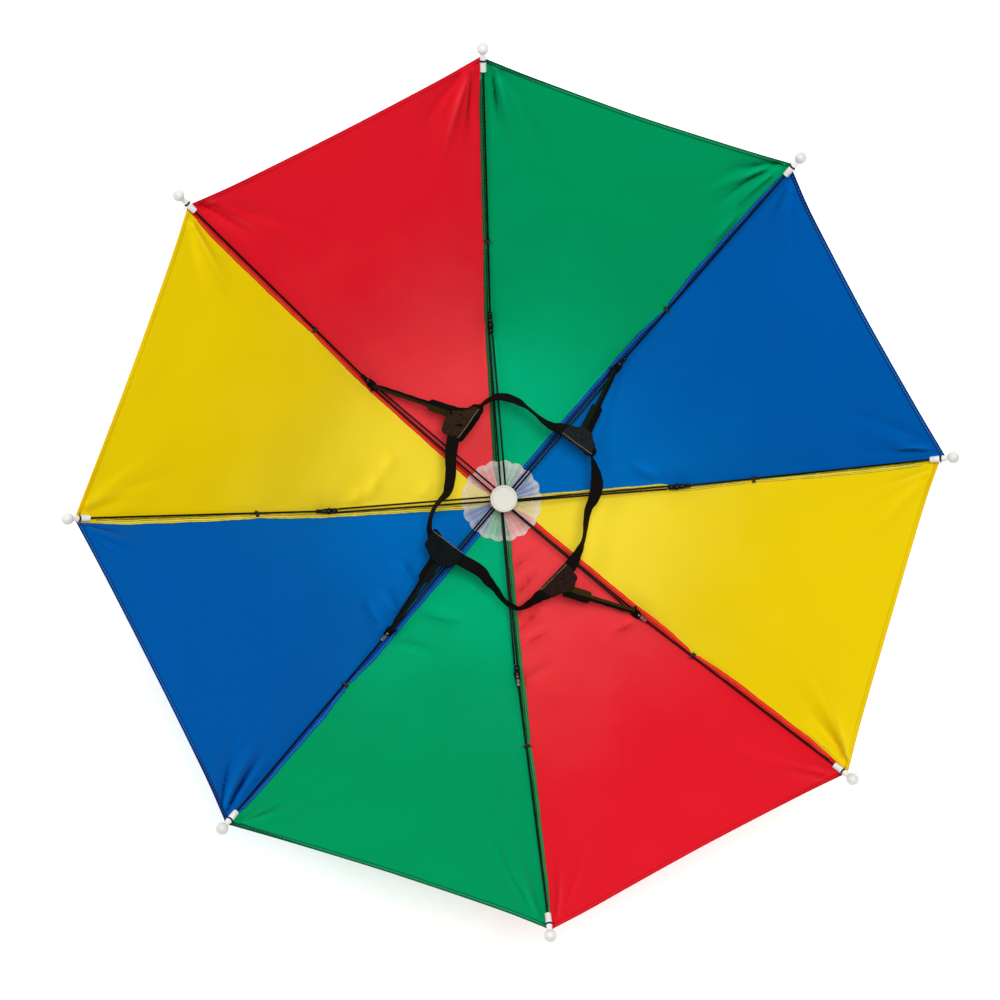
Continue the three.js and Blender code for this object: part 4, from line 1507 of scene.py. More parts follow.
@dataclass
class RibFrame(Assembly):
    """Inner ribs, stretchers and outer ribs with their folding joints."""

    wire_radius: float = 0.72
    rod_spread: float = 1.15
    pivot_radius: float = 7.0
    pivot_overrun: float = 1.4
    notch_height: float = 11.0
    runner_height: float = 18.1
    runner_turn: float = math.radians(19)
    runner_shift: tuple[float, float] = (0.7, 0.6)
    rod_stack: float = 1.35
    rod_end_gap: float = 0.45
    # Ribs whose ferrules get the bright steel, a painted glint; the rest get a darker copy of it.
    glint_ribs: tuple[int, ...] = (3, 4, 5)

    def rod_end(self, rib: int, height: float, side: float) -> Array:
        """Return the place just short of a joint's tilted inner face.

        Args:
            rib: the rib.
            height: the height of the place.
            side: its distance to the counter-clockwise side.

        Returns:
            The place in millimetres.
        """
        form = self.form
        rise = (height - form.joint_height) * math.sin(form.knuckle_slope)
        short = form.knuckle_length / 2 + self.rod_end_gap + rise
        return on_rib(rib, form.joint_radius - short / math.cos(form.knuckle_slope), height, side)

    def rod(self, pivot: Array, end: Array) -> Grid:
        """Return a straight wire that overruns its pivot.

        Args:
            pivot: the place of its pivot at the crown.
            end: its other end.

        Returns:
            The closed wire.
        """
        forward = unit(end - pivot)
        start = pivot - self.pivot_overrun * forward
        share = np.array([0.0, 0.002, 0.3, 0.7, 0.998, 1.0])[:, None]
        radius = self.wire_radius * np.array([0.8, 1.0, 1.0, 1.0, 1.0, 0.8])
        return tube(start + (end - start) * share, radius, UP, sides=16)

    def rods(self, rib: int) -> tuple[Grid, Grid]:
        """Return both straight wires of one rib.

        Args:
            rib: the rib.

        Returns:
            The inner rib and the stretcher.
        """
        form = self.form
        middle = form.joint_height - form.knuckle_length / 2 * math.sin(form.knuckle_slope)
        low = on_rib(rib, self.pivot_radius, self.notch_height)
        high = np.array([self.pivot_radius, 0.0, self.runner_height])
        high = turned_about(high, rib_angle(rib) - self.runner_turn)
        high = high + np.array([*self.runner_shift, 0.0])
        stack, spread = self.rod_stack, self.rod_spread
        low_end, high_end = (self.rod_end(rib, middle + s * stack, -s * spread) for s in (-1, 1))
        return self.rod(low, low_end), self.rod(high, high_end)

    def on_slope(self, rib: int, along: Array, slope: float, side: Union[float, Array] = 0.0) -> Array:
        """Return places on a slope through a joint's middle.

        Args:
            rib: the rib.
            along: their runs outward from the middle.
            slope: the slope.
            side: their distance to the counter-clockwise side.

        Returns:
            The places in millimetres.
        """
        along = np.asarray(along, dtype=float)
        x = self.form.joint_radius + along * math.cos(slope)
        z = self.form.joint_height + along * math.sin(slope)
        return turned_about(np.stack(np.broadcast_arrays(x, side, z), axis=-1), rib_angle(rib))

    def outer_rib(self, rib: int) -> list[Grid]:
        """Return the outer part of one rib.

        Args:
            rib: the rib.

        Returns:
            The outer wire, the crimped channel and the rivet through it.
        """
        form = self.form
        sideways = on_rib(rib, 0.0, 0.0, 1.0)
        length = (form.tip_radius - form.joint_radius) / math.cos(form.outer_slope) - 8.7
        along = np.array([0.0, 0.1, 0.3 * length, 0.6 * length, length - 0.2, length])
        radius = self.wire_radius * np.array([0.8, 1, 1, 1, 1, 0.8])
        wire = tube(self.on_slope(rib, along, form.outer_slope), radius, UP, sides=16)
        along = np.array([-6.25, -6.1, -5.6, -3.2, -2.8, -2.4, 1.4, 1.8, 2.2, 4.2, 5.4, 6.1, 6.25])
        width = np.array([2.9, 3.6, 3.8, 3.8, 3.3, 3.8, 3.8, 3.3, 3.8, 3.6, 3.0, 2.5, 1.9])
        height = np.array([3.8, 4.6, 4.8, 4.8, 4.4, 4.8, 4.8, 4.4, 4.8, 4.5, 3.6, 2.9, 2.2])
        path = self.on_slope(rib, along, form.knuckle_slope)
        channel = oblong(path, sideways, width, height, squareness=0.45)
        head = [(0, 2.45), (0.7, 2.4), (1.1, 2.15), (1.25, 1.85)]
        foot = [(radius, -height) for radius, height in reversed(head)]
        rivet = turning(head + foot, self.on_slope(rib, 0.0, 0.0), sideways, sides=20)
        return [wire, channel, rivet]

    def ferrule(self, rib: int) -> list[Grid]:
        """Return the bare metal at one joint.

        Args:
            rib: the rib.

        Returns:
            The crimped ferrule outside the joint and the pin's head on top of it.
        """
        slope = self.form.outer_slope
        along = np.array([5.6, 5.8, 7.2, 7.6, 8.0, 10.6, 10.9])
        radius = np.array([1.2, 1.5, 1.5, 1.32, 1.5, 1.45, 1.15])
        sleeve = tube(self.on_slope(rib, along, slope), radius, UP, sides=18)
        tilt = self.form.knuckle_slope
        outward = on_rib(rib, -math.sin(tilt), math.cos(tilt))
        top = self.on_slope(rib, 3.0, tilt) + outward * 2.1
        head = [(0, 0.75), (0.45, 0.7), (0.8, 0.45), (0.9, 0.1), (0.9, -0.5), (0, -0.5)]
        return [sleeve, turning(head, top, outward, sides=20)]

    def build(self) -> None:
        """Make and dress every wire, joint and ferrule."""
        enamel, steel = Enamel().material(), BareSteel().material()
        shaded_steel = BareSteel("shaded_steel", shade(58, 54, 52), shade(14, 13, 13)).material()
        for rib in range(RIBS):
            number = rib + 1
            inner, stretcher = self.rods(rib)
            wires = (
                ("inner_wire", "inner_rib", [inner]),
                ("stretcher_wire", "stretcher", [stretcher]),
                ("outer_wire", "outer_rib", self.outer_rib(rib)),
            )
            for name, node, grids in wires:
                piece = make_piece(f"{name}_{number}", grids)
                settle(piece, enamel, [f"{node}_{number}"])
            # Painted light: the same steel, bright where a glint falls and darker elsewhere.
            metal = steel if rib in self.glint_ribs else shaded_steel
            settle(make_piece(f"joint_ferrule_{number}", self.ferrule(rib)), metal)


@dataclass
class TipCaps(Assembly):
    """White caps with a sleeve, a thread groove, a neck and a ball, and the navy thread on each."""

    ball: float = 4.5
    neck: float = 1.9
    flare: float = 2.3
    neck_length: float = 8.2
    groove: float = 1.9
    sleeve: float = 2.35
    sleeve_start: float = 10.0
    sleeve_end: float = 17.4
    thread_at: float = 9.2
    thread: float = 0.24
    black_ribs: tuple[int, ...] = (6, 7)

    def profile(self) -> Profile:
        """Return the cap's outline.

        Returns:
            Pairs of radius and height, from a ball down to its neck, the flare, the groove and the
            sleeve, which is hollow at its end.
        """
        turn = np.linspace(0, math.pi - math.asin(self.neck / self.ball), 22)
        ball = [(self.ball * math.sin(t), self.ball * math.cos(t)) for t in turn]
        rest = rounded([
            ball[-1],
            (self.neck, -5.4),
            (self.flare, 0.1 - self.neck_length), (self.flare, -0.25 - self.neck_length),
            (self.groove, -0.4 - self.neck_length), (self.groove, 0.1 - self.sleeve_start),
            (self.sleeve, -0.05 - self.sleeve_start), (self.sleeve, -self.sleeve_end),
            (1.35, -self.sleeve_end), (1.35, 2.0 - self.sleeve_end), (0, 2.0 - self.sleeve_end),
        ], 0.55)
        return ball + rest[1:]

    def build(self) -> None:
        """Make and dress the caps and their threads."""
        plastic = MouldedPlastic("white_plastic", shade(238, 238, 236), shade(216, 216, 212)).material()
        navy = Thread("navy_thread", shade(8, 18, 46), shade(30, 52, 100)).material()
        black = Thread("tip_black_thread", shade(10, 10, 12), shade(48, 48, 50)).material()
        slope, tip = self.form.outer_slope, self.form.tip_radius
        for rib in range(RIBS):
            centre = on_rib(rib, tip, float(self.form.axis_height(tip)))
            axis = on_rib(rib, math.cos(slope), math.sin(slope))
            cap = make_piece(f"tip_{rib + 1}", [turning(self.profile(), centre, axis, 40)])
            settle(cap, plastic, [f"tip_cap_{rib + 1}"])
            middle = centre - axis * self.thread_at
            side = unit(np.cross(UP, axis))
            down = np.cross(side, axis)
            grids = [coil(middle, axis, 2.2, 2.2, 0.42, 3.2, self.thread)]
            share = np.linspace(0, 1, 14)[:, None]
            for sense in (-1, 1):
                tail = middle + sense * side * (1.9 + 2.4 * share) - axis * (0.4 + 1.5 * share)
                tail = tail + down * 1.6 * share
                grids.append(tube(tail, 0.22, axis + 0.3 * down, 7))
            colour = black if rib in self.black_ribs else navy
            settle(make_piece(f"tip_thread_{rib + 1}", grids), colour)


@dataclass
class ThreadTies(Assembly):
    """Black thread that ties the seam to each outer rib, half way along it."""

    thread: float = 0.27

    def tie(self, rib: int) -> list[Grid]:
        """Return the tie on one rib.

        Args:
            rib: the rib.

        Returns:
            Turns of thread round the wire and the seam, a knot and two loose ends.
        """
        form = self.form
        chance = np.random.default_rng(120 + rib)
        axis = on_rib(rib, math.cos(form.outer_slope), math.sin(form.outer_slope))
        side = on_rib(rib, 0.0, 0.0, 1.0)
        up = np.cross(axis, side)
        radius = form.tie_radii[rib]
        spot = on_rib(rib, radius, float(form.axis_height(radius)))
        side = -side if rib == form.crossing_rib else side
        wound = coil(spot + 0.7 * side, axis + 0.12 * side, 2.1, 1.35, 0.62, 4.2, self.thread)
        q = np.linspace(0, 4 * math.pi, 60)[:, None]
        knot_spot = spot + 1.4 * up + 0.5 * side
        loops = 1.15 * np.cos(q) * side + 0.95 * np.sin(q + 0.7) * axis + 0.4 * np.cos(1.5 * q) * up
        knot = knot_spot + loops
        grids = [wound, tube(knot, self.thread, up + 0.2 * axis, 7)]
        share = np.linspace(0, 1, 12)[:, None]
        for sense in (-1, 1):
            reach, lean = chance.uniform(2.6, 4.6), chance.uniform(-1.6, 2.0)
            tail = knot_spot + sense * reach * share * side + lean * share * axis
            tail = tail + 0.7 * np.sin(2.6 * share) * up
            grids.append(tube(tail, self.thread * 0.85, up + 0.3 * axis, 6))
        return grids

    def build(self) -> None:
        """Make and dress the eight ties."""
        black = Thread("black_thread", shade(5, 5, 5), shade(70, 66, 62)).material()
        for rib in range(RIBS):
            settle(make_piece(f"thread_tie_{rib + 1}", self.tie(rib)), black)


@dataclass
class Crown(Assembly):
    """Cap outside the crown, pleated rosette inside it, the notch and the runner with its disc."""

    cap_foot: float = 13.0
    cap_radius: float = 14.5
    cap_height: float = 3.2
    stem: float = 4.2
    stem_top: float = 6.9
    rosette_radius: float = 31.0
    rosette_hole: float = 4.8
    scallops: int = 18
    scallop_depth: float = 1.7
    pleat_depth: float = 0.7
    disc_radius: float = 10.2
    disc_base: float = 20.9
    disc_face: float = 22.2
    runner_shift: tuple[float, float] = (0.7, 0.6)

    def rosette(self) -> Grid:
        """Return the rosette's upper face.

        Its edge is the radius less the scallop depth times one less the root of a cosine wave round
        it, and it rises from the cloth by the pleat depth times that wave, plus finer pleats.

        Returns:
            The face, mapped by the radius and the share of the way round.
        """
        turn = np.linspace(0, 2 * math.pi, self.scallops * 24, endpoint=False)[None, :]
        share = np.concatenate([np.linspace(0, 0.9, 12), [0.94, 0.97, 0.985, 1.0]])[:, None]
        wave = 0.5 + 0.5 * np.cos(self.scallops * turn)
        edge = self.rosette_radius - self.scallop_depth * (1 - np.sqrt(wave))
        radius = self.rosette_hole + (edge - self.rosette_hole) * share
        outline = radius / math.cos(HALF)
        reach = outline / self.form.cloth_radius
        sag = self.form.sag * smooth(2 * reach) * np.sin(self.form.sag_turn * reach)
        fine = 0.26 * np.cos(2 * self.scallops * turn + 0.5) + 0.08 * np.cos(5 * self.scallops * turn)
        base = self.form.height(outline) + sag + self.form.gap + 0.75
        z = base + (self.pleat_depth * wave + fine) * share + 0.25 * smooth((share - 0.93) / 0.05)
        points = np.stack([radius * np.cos(turn), radius * np.sin(turn), z], axis=-1)
        wide = np.broadcast_to(radius[:, :1], (len(share), points.shape[1] + 1)) * MM
        around = np.broadcast_to(np.linspace(0, 1, points.shape[1] + 1), wide.shape)
        return Grid(points, np.stack([wide, around], axis=-1), closes_across=True)

    def build(self) -> None:
        """Make and dress the crown's pieces, and dress the notch and the runner."""
        white = MouldedPlastic("cap_plastic", shade(240, 239, 234), shade(222, 220, 212)).material()
        cream = MouldedPlastic("disc_plastic", shade(207, 208, 195), shade(206, 204, 190), 0.42).material()
        outline = rounded([
            (0, 0), (self.cap_foot, 0), (self.cap_radius, 1.2), (self.cap_radius, self.cap_height),
            (self.stem, self.cap_height), (self.stem, self.stem_top), (0, self.stem_top),
        ], 0.8)
        cap = make_piece("outer_cap", [turning(outline, np.zeros(3), UP, 96)])
        settle(cap, white, ["crown_cap"])
        rosette = make_piece("pleated_rosette", [self.rosette()], Facing.UP)
        give_wall(rosette, 0.22)
        settle(rosette, PleatedFilm().material(), ["crown_rosette"])
        r, base, face = self.disc_radius, self.disc_base, self.disc_face
        outline = rounded([
            (0, face + 0.12), (r - 1.7, face + 0.12), (r - 1.35, face + 0.5), (r - 0.25, face + 0.5),
            (r + 0.12, face - 0.1), (r + 0.12, base - 0.1),
            (r - 1.2, base - 0.1), (r - 1.2, base + 0.4), (0, base + 0.4),
        ], 0.35)
        middle = np.array([*self.runner_shift, 0.0])
        settle(make_piece("disc_face", [turning(outline, middle, UP, 96)]), cream)
        for name in ("rib_notch", "runner_disc"):
            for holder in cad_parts[name].material_slots:
                holder.material = cream


@dataclass(frozen=True)
class PadPlace:
    """Where a pad of the headband lies, how its felt is cut and which joint its strap goes to.

    A corner is a run along the pad's inner edge from its middle, and a run out from that edge.
    """

    name: str
    angle: float
    radius_share: float
    turn: float
    rib: int
    strap_share: float
    # The nearby cloth's colour, painted as a reflection on half of the strap.
    painted_reflection: Colour
    # The felt's and fibres' colours, tinted by painted light reflected from the cloths near the pad.
    felt: Colour
    fibre: Colour
    inlet: float
    outlet: float
    hole: tuple[float, float]
    corners: Corners
    backing: Corners = ()


# Each pad's felt leans brown or grey-blue by the cloths around it: painted reflected light.
PADS = (
    PadPlace(
        "back_right", 33, 0.96, 17, 1, 0.1, shade(8, 38, 24), shade(15, 19, 21), shade(44, 50, 48),
        4, 2.2, (-2.5, 5.3),
        (
            (14.5, -0.5), (13.4, 5.9), (10.7, 10), (6.8, 11.2), (3.5, 14.4), (-0.8, 14.8),
            (-5.8, 13.7), (-8.7, 10.3), (-12.7, 8.5), (-13.6, 6.2), (-12.6, 4.2), (-15.4, -0.9),
        ),
    ),
    PadPlace(
        "front_right", -62.4, 0.98, 13, 3, 0.35, shade(70, 54, 8), shade(24, 15, 11), shade(56, 38, 28),
        4.5, 5.5, (3.5, 6.8),
        (
            (14.2, -0.6), (14.2, 6.8), (12.6, 9.5), (13.2, 14), (9.4, 14.8), (6.2, 16.9),
            (1.5, 17.4), (-2, 15.6), (-6, 13.2), (-11.9, 11.6), (-13, 5.3), (-14.4, 0),
        ),
    ),
    PadPlace(
        "front_left", -146.4, 0.76, 15, 5, 0.0, shade(10, 26, 18), shade(6, 11, 13), shade(20, 30, 33),
        6, 3.2, (-2.2, 8.0),
        (
            (-15.2, 1.4), (-12.9, 6.8), (-13.8, 12.4), (-9, 14.4), (-3, 18.1), (3.6, 19.2),
            (6, 17.6), (11.7, 16.8), (15, 10.6), (15.4, 3.7), (13, 1.0), (-2.2, 0.3),
        ),
    ),
    PadPlace(
        "back_left", 111.7, 0.87, 29, 7, 0.25, shade(50, 42, 5), shade(32, 20, 11), shade(68, 48, 30),
        5, 2.0, (2.6, 8.5),
        (
            (14.2, 0.2), (14.9, 7.3), (16.8, 14.8), (12, 15.2), (8, 17.5), (0.3, 18.3), (-1.7, 16.1),
            (-6.5, 9.5), (-13.2, 5.4), (-15.2, 0.2),
        ),
        (
            (14.8, -2.6), (15.2, 7.0), (16.2, 14.4), (8, 17), (-5.2, 15.8), (-11.6, 6.0), (-15.5, 0.6),
            (-12.0, -3.4), (0.3, -3.6),
        ),
    ),
)

# Each stop of the band between two pads: its angle, its share of the band's radius and its roll.
STRANDS = (
    (
        (21, 1.04, 15), (16, 1.03, 35), (10, 1.02, 60), (3, 1.0, 88), (-4, 0.96, 60), (-11, 0.91, 38),
        (-20, 0.91, 30), (-28, 0.94, 20), (-33, 0.96, 20), (-40, 0.98, 40),
    ),
    (
        (-74, 1.11, 60), (-80, 1.15, 35), (-87, 1.19, 14), (-91, 1.15, 18), (-95, 1.09, 15),
        (-100, 0.98, 25), (-106, 0.9, 42), (-112, 0.83, 58),
    ),
    (
        (-160, 0.88, 20), (-168, 0.83, 14), (-176, 0.76, 14), (-182, 0.69, 20), (-189, 0.62, 35),
        (-198, 0.61, 48), (-210, 0.64, 50), (-221, 0.72, 55),
    ),
    (
        (99, 1.03, 15), (94, 1.07, 25), (89, 1.09, 40), (84, 1.08, 45), (78, 1.05, 40), (71, 1.0, 20),
        (65, 0.96, 20), (59, 0.93, 30), (52, 0.93, 45),
    ),
)


@dataclass
class Headband(Assembly):
    """One closed loop of elastic through four felt pads, and the straps that hold it."""

    radius: float = 70.0
    height: float = 36.0
    width: float = 10.0
    wall: float = 1.0
    pad_length: float = 29.0
    pad_depth: float = 17.5
    pad_wall: float = 4.8
    inset: float = 6.6
    strap_wall: float = 1.1
    tongue_width: float = 9.4
    tail_width: float = 4.4
    tongue_length: float = 16.0
    centre_out: float = 7.0
    stitch_inset: float = 1.0
    stitch_step: float = 2.25
    stitch_length: float = 1.9
    stitch_thread: float = 0.26

    def place(self, angle: float, radius: float) -> Array:
        """Return a place at the band's height, by its angle in degrees and radius."""
        turn = math.radians(angle)
        return np.array([radius * math.cos(turn), radius * math.sin(turn), self.height])

    def pad_axes(self, pad: PadPlace) -> tuple[Array, Array, Array]:
        """Return how a pad lies.

        Args:
            pad: the pad's place.

        Returns:
            The middle of its inner edge, the way out of the ring and the way along it.
        """
        middle = self.place(pad.angle, self.radius * pad.radius_share)
        turn = math.radians(pad.angle + pad.turn)
        out = np.array([math.cos(turn), math.sin(turn), 0.0])
        return middle, out, np.array([-out[1], out[0], 0.0])

    def band(self, steps: int = 420) -> Grid:
        """Return the elastic's closed loop.

        Its middle is a curve through the stops in which each step counts as the root of its length,
        with slopes from the neighbouring stops. Its roll eases from stop to stop.

        Args:
            steps: the number of places along it.

        Returns:
            The closed loop.
        """
        spots, rolls = [], []
        for pad, strand in zip(PADS, STRANDS):
            middle, out, along = self.pad_axes(pad)
            for share, reach in ((0.42, pad.inlet), (0.0, self.inset), (-0.42, pad.outlet)):
                spots.append(middle + out * reach + along * share * self.pad_length)
                rolls.append(90.0)
            for angle, share, roll in strand:
                spots.append(self.place(angle, self.radius * share))
                rolls.append(float(roll))
        stops, roll = np.array(spots), np.array(rolls)
        count = len(stops)
        at = np.linspace(0, count, steps, endpoint=False)
        low = np.floor(at).astype(int)
        t = (at - low)[:, None]
        before, start, end, after = (stops[(low + k) % count] for k in (-1, 0, 1, 2))
        spans = (start - before, end - start, after - end)
        root = [np.sqrt(np.linalg.norm(span, axis=1))[:, None] for span in spans]
        leave = (start - before) / root[0] - (end - before) / (root[0] + root[1]) + (end - start) / root[1]
        reach = (end - start) / root[1] - (after - start) / (root[1] + root[2]) + (after - end) / root[2]
        leave, reach = leave * root[1], reach * root[1]
        path = start + leave * t + (3 * (end - start) - 2 * leave - reach) * t**2
        path = path + (2 * (start - end) + leave + reach) * t**3
        lean = np.radians(roll[low] + (roll[(low + 1) % count] - roll[low]) * smooth(t[:, 0]))
        forward = np.roll(path, -1, axis=0) - np.roll(path, 1, axis=0)
        side = unit(np.stack([forward[:, 1], -forward[:, 0], 0 * lean], axis=-1))
        across = np.sin(lean)[:, None] * side + np.cos(lean)[:, None] * UP
        width = self.width - 0.5 * np.abs(np.sin(at * 2.3))
        return oblong(path, across, width, self.wall, loops=True, squareness=0.45)

    def outline(self, corners: Corners, seed: int, count: int = 150) -> Array:
        """Return the cut edge of one ply of a pad.

        The corners are joined by straight cuts, rounded by three means over five neighbours, and
        the edge is frayed by seeded sine waves.

        Args:
            corners: its corners, as runs along the pad and out from its inner edge.
            seed: the seed of the frayed edge.
            count: the number of places round it.

        Returns:
            The runs from the pad's centre to the edge, at even turns about the centre.
        """
        spots = np.array(corners) - np.array([0.0, self.centre_out])
        closed = np.concatenate([spots, spots[:1]])
        run = run_along(closed)
        even = np.linspace(0, run[-1], 600, endpoint=False)
        x, y = np.interp(even, run, closed[:, 0]), np.interp(even, run, closed[:, 1])
        turn, reach = np.arctan2(y, x), np.hypot(x, y)
        order = np.argsort(turn)
        at = np.linspace(-math.pi, math.pi, count, endpoint=False)
        reach = np.interp(at, turn[order], reach[order], period=2 * math.pi)
        for _ in range(3):
            earlier = np.roll(reach, 2) + np.roll(reach, 1) + 2 * reach
            reach = (earlier + np.roll(reach, -1) + np.roll(reach, -2)) / 6
        chance = np.random.default_rng(seed)
        for waves in (17, 29, 41, 61):
            reach = reach + 0.09 * np.sin(waves * at + chance.uniform(0, 6.28))
        return np.stack([reach * np.cos(at), reach * np.sin(at)], axis=-1)

    def pad(self, pad: PadPlace) -> Grid:
        """Return one folded pad: two plies that meet in a groove round the edge.

        Rows go from the middle of the top over the rim to the middle of the bottom. Each row is its
        ply's outline shrunk towards the middle by its own share, at its own height. The top is
        lumpy by products of cosines and has a dent where it is sewn through.

        Args:
            pad: the pad's place.

        Returns:
            The closed grid, mapped by the share outward and the ply.
        """
        middle, out, along = self.pad_axes(pad)
        seed = int(abs(pad.angle))
        upper = self.outline(pad.corners, seed)
        lower = self.outline(pad.backing or pad.corners, seed + 1)
        half = self.pad_wall / 2
        inner = np.concatenate([np.linspace(0, 0.84, 13), [0.9, 0.945, 0.975, 0.992, 1.0, 0.99, 0.965]])
        rise = np.interp(inner[:14], [0, 0.84, 0.9], [1.0, 0.96, 0.93])
        rise = half * np.concatenate([rise, [0.87, 0.76, 0.6, 0.4, 0.18, 0.04]])
        spots = np.concatenate([inner[:, None, None] * upper, inner[::-1, None, None] * lower])
        level = np.concatenate([rise, -rise[::-1]])[:, None]
        share = np.concatenate([inner, inner[::-1]])[:, None]
        a, o = spots[..., 0], spots[..., 1] + self.centre_out
        swell = 0.22 * np.cos(a / 2.1 + seed) * np.cos(o / 1.9)
        swell = swell + 0.2 * np.cos(a / 3.9) * np.cos(o / 3.1 + seed)
        dent = 1.3 * np.exp(-((a - pad.hole[0]) ** 2 / 2.2 + (o - pad.hole[1]) ** 2 / 1.1))
        relief = (swell - dent) * (1 - share**8)
        points = middle + a[..., None] * along + o[..., None] * out
        points[..., 2] += level + np.where(level > 0, relief, -0.3 * relief)
        ply = np.broadcast_to(np.where(level > 0, 1.0, 0.0), (len(level), len(upper) + 1))
        wide = np.broadcast_to(share, ply.shape) * 0.01
        return Grid(points, np.stack([wide, ply], axis=-1), closes_across=True)

    def pad_stitches(self, pad: PadPlace) -> list[Grid]:
        """Return the light stitches along a pad's straight edge.

        Args:
            pad: the pad's place.

        Returns:
            The stitches, each a low arched thread.
        """
        middle, out, along = self.pad_axes(pad)
        chance = np.random.default_rng(int(abs(pad.angle)))
        share = np.linspace(-0.5, 0.5, 8)[:, None]
        grids = []
        for spot in np.arange(-self.pad_length / 2 + 1.6, self.pad_length / 2 - 1.2, self.stitch_step):
            wander, lean = chance.uniform(-0.15, 0.15), chance.uniform(-0.1, 0.1)
            path = middle + (spot + self.stitch_length * share) * along
            path = path + (self.stitch_inset + wander + lean * share) * out
            path[:, 2] += self.pad_wall / 2 * 0.93 + 0.26 * np.cos(math.pi * share[:, 0]) ** 0.5
            grids.append(tube(path, self.stitch_thread, UP, 6))
        return grids

    def strap_path(self, pad: PadPlace) -> Array:
        """Return where a strap runs.

        Args:
            pad: the place of its pad.

        Returns:
            Its middle, straight from the pad to the joint with a slight sag.
        """
        form = self.form
        middle, out, along = self.pad_axes(pad)
        start = middle + out * self.inset - along * pad.strap_share * self.pad_length / 2
        top = 2.4 / math.cos(form.knuckle_slope) + form.gap + 0.6
        end = on_rib(pad.rib, form.joint_radius - 2, form.joint_height + top)
        share = np.linspace(0, 1, 60)[:, None]
        path = start + (end - start) * share
        path[:, 2] -= 0.9 * np.sin(math.pi * share[:, 0])
        keep = np.linalg.norm((path - start)[:, :2], axis=1) > self.pad_depth - self.inset - 4.0
        return path[keep]

    def strap(self, pad: PadPlace) -> Grid:
        """Return a strap.

        Args:
            pad: the place of its pad.

        Returns:
            A wide tongue that steps down to a narrow tail.
        """
        path = self.strap_path(pad)
        run = run_along(path)
        tongue = self.tongue_length + 4.0
        width = self.tongue_width - (self.tongue_width - self.tail_width) * smooth((run - tongue) / 1.6)
        width = width * (1 - 0.3 * smooth((run - run[-1] + 9) / 9)) + 0.22 * np.sin(run / 1.7)
        forward = unit(np.gradient(path, axis=0))
        side = unit(np.stack([-forward[:, 1], forward[:, 0], 0 * run], axis=-1))
        roll = 0.22 * np.sin(run / 9.0) + 0.5 * smooth((run - tongue) / 20)
        across = np.cos(roll)[:, None] * side + np.sin(roll)[:, None] * UP
        return oblong(path, across, width, self.strap_wall, squareness=0.45)

    def knot(self, pad: PadPlace) -> list[Grid]:
        """Return the knot that holds a strap.

        Args:
            pad: the place of its pad.

        Returns:
            The strap's end wound round the joint, a small lump where it is tied, and its tail.
        """
        form = self.form
        axis = on_rib(pad.rib, math.cos(form.knuckle_slope), math.sin(form.knuckle_slope))
        side = on_rib(pad.rib, 0.0, 0.0, 1.0)
        up = np.cross(axis, side)
        centre = on_rib(pad.rib, form.joint_radius, form.joint_height)
        q = np.linspace(0.3 * math.pi, 5.6 * math.pi, 110)[:, None]
        lead = -1.8 + 4.6 * (q - q[0]) / (q[-1] - q[0]) + 0.5 * np.sin(1.3 * q)
        rise = np.sin(q) * np.where(np.sin(q) > 0, 3.0 + 0.2 * np.sin(2.3 * q), 2.5)
        path = centre + lead * axis + (2.55 + 0.18 * np.sin(2.3 * q)) * np.cos(q) * side + rise * up
        wrap = oblong(path, axis, 2.0, 0.8, squareness=0.6, sides=12)
        lump = [(0, 1.9), (0.9, 1.75), (1.6, 1.2), (1.9, 0.3), (1.75, -0.7), (1.1, -1.4), (0, -1.6)]
        knot = turning(lump, centre + 2.9 * up - 0.9 * axis + 1.1 * side, up + 0.5 * side, 18)
        share = np.linspace(0, 1, 16)[:, None]
        start = centre + 3.2 * up - 0.5 * axis
        tail = start + 3.6 * share * side - 2.6 * share**2 * axis + 0.8 * np.sin(3 * share) * up
        return [wrap, knot, oblong(tail, axis, 1.9, 0.7, squareness=0.6, sides=12)]

    def build(self) -> None:
        elastic = WovenElastic("black_elastic", shade(4, 3, 3), shade(34, 27, 26)).material()
        tan = Thread("tan_thread", shade(104, 92, 76), shade(150, 136, 112)).material()
        settle(make_piece("elastic_band", [self.band()]), elastic, ["headband"])
        for pad in PADS:
            body = make_piece(f"felt_pad_{pad.name}", [self.pad(pad)])
            felt = Felt(f"felt_{pad.name}", pad.felt, pad.fibre).material()
            settle(body, felt, [f"band_pad_{pad.name}"])
            settle(make_piece(f"pad_stitches_{pad.name}", self.pad_stitches(pad)), tan)
            finish = WovenElastic(f"strap_elastic_{pad.name}", shade(4, 3, 3), shade(26, 21, 20), pad.painted_reflection)
            strap = make_piece(f"elastic_strap_{pad.name}", [self.strap(pad)])
            settle(strap, finish.material(), [f"band_strap_{pad.name}"])
            settle(make_piece(f"strap_knot_{pad.name}", self.knot(pad)), elastic)


@dataclass(frozen=True)
class Lamp:
    """A square soft light that looks at the middle of the hat."""

    name: str
    place: tuple[float, float, float]
    size: float
    power: float

    def build(self) -> None:
        """Make the light."""
        data = bpy.data.lights.new(self.name, "AREA")
        data.shape, data.size, data.energy = "SQUARE", self.size, self.power
        lamp = bpy.data.objects.new(self.name, data)
        bpy.context.scene.collection.objects.link(lamp)
        toward = Vector((0.0, 0.0, 0.06)) - Vector(self.place)
        turn = toward.to_track_quat("-Z", "Y").to_matrix().to_4x4()
        lamp.matrix_world = Matrix.Translation(self.place) @ turn


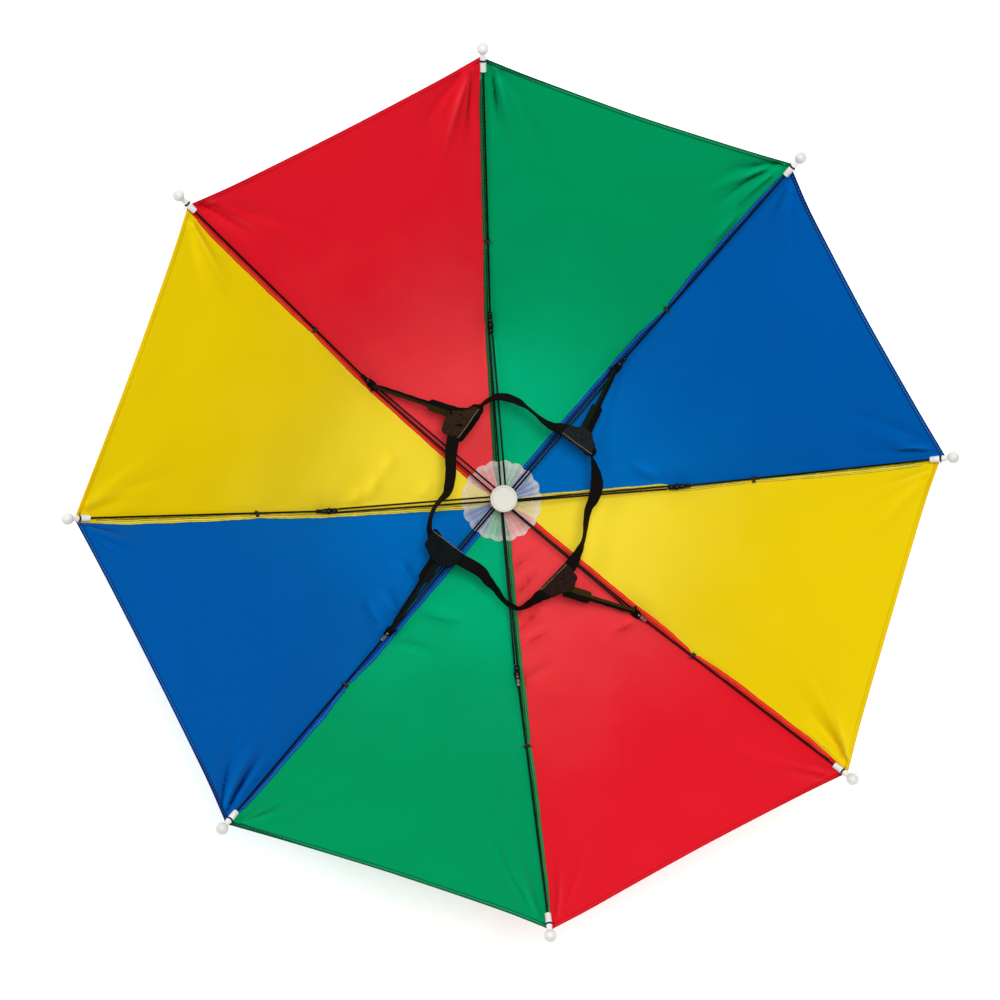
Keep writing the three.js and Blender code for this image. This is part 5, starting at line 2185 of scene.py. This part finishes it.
@dataclass
class Studio:
    """Pale floor, soft lights and the camera at the photograph's angle."""

    turns: tuple[float, float, float] = (-0.078, 0.085, 0.076)
    shift: tuple[float, float] = (11.68, 8.96)
    distance: float = 2200.0
    rim_height: float = 133.0
    focal_pixels: float = 3067.6
    sensor: float = 36.0
    picture: int = 1000
    floor_reach: float = 4000.0
    floor_drop: float = 0.05
    room_light: float = 0.4
    lamps: tuple[Lamp, ...] = (
        Lamp("overhead", (0.15, 0.35, 2.7), 1.3, 44.0),
        Lamp("window", (-1.5, 1.3, 1.8), 1.0, 12.5),
    )

    def camera(self) -> None:
        """Set the camera: three turns give its axes, and it stands back along the last of them."""
        across, up, roll = self.turns
        turn = Matrix.Rotation(across, 3, "X") @ Matrix.Rotation(up, 3, "Y") @ Matrix.Rotation(roll, 3, "Z")
        stand = Vector((-self.shift[0], -self.shift[1], self.distance))
        spot = (turn.transposed() @ stand + Vector((0, 0, self.rim_height))) * MM
        data = bpy.data.cameras.new("view")
        data.sensor_width = self.sensor
        data.lens = self.focal_pixels * self.sensor / self.picture
        data.clip_end = 50.0
        camera = bpy.data.objects.new("view", data)
        bpy.context.scene.collection.objects.link(camera)
        camera.matrix_world = Matrix.Translation(spot) @ turn.transposed().to_4x4()
        bpy.context.scene.camera = camera

    def build(self) -> None:
        """Make the floor, the light and the camera."""
        side = np.linspace(-self.floor_reach, self.floor_reach, 9)
        x, y = np.meshgrid(side, side, indexing="ij")
        flat = Grid(np.stack([x, y, 0 * x - self.floor_drop], axis=-1))
        floor = make_piece("floor", [flat], Facing.UP)
        floor.data.materials.append(FloorPaint().material())
        world = bpy.data.worlds.new("soft_room")
        world.use_nodes = True
        room = world.node_tree.nodes["Background"]
        room.inputs["Color"].default_value = (1.0, 1.0, 1.0, 1.0)
        room.inputs["Strength"].default_value = self.room_light
        bpy.context.scene.world = world
        bpy.context.scene.view_settings.view_transform = "Standard"
        for lamp in self.lamps:
            lamp.build()
        self.camera()


def main() -> None:
    """Build the hat piece by piece over the frame."""
    logging.basicConfig(level=logging.INFO, format="%(name)s %(message)s")
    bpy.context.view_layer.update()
    Studio().build()
    Canopy().build()
    RibFrame().build()
    TipCaps().build()
    ThreadTies().build()
    Crown().build()
    Headband().build()
    bpy.context.view_layer.update()


if __name__ == "__main__":
    main()
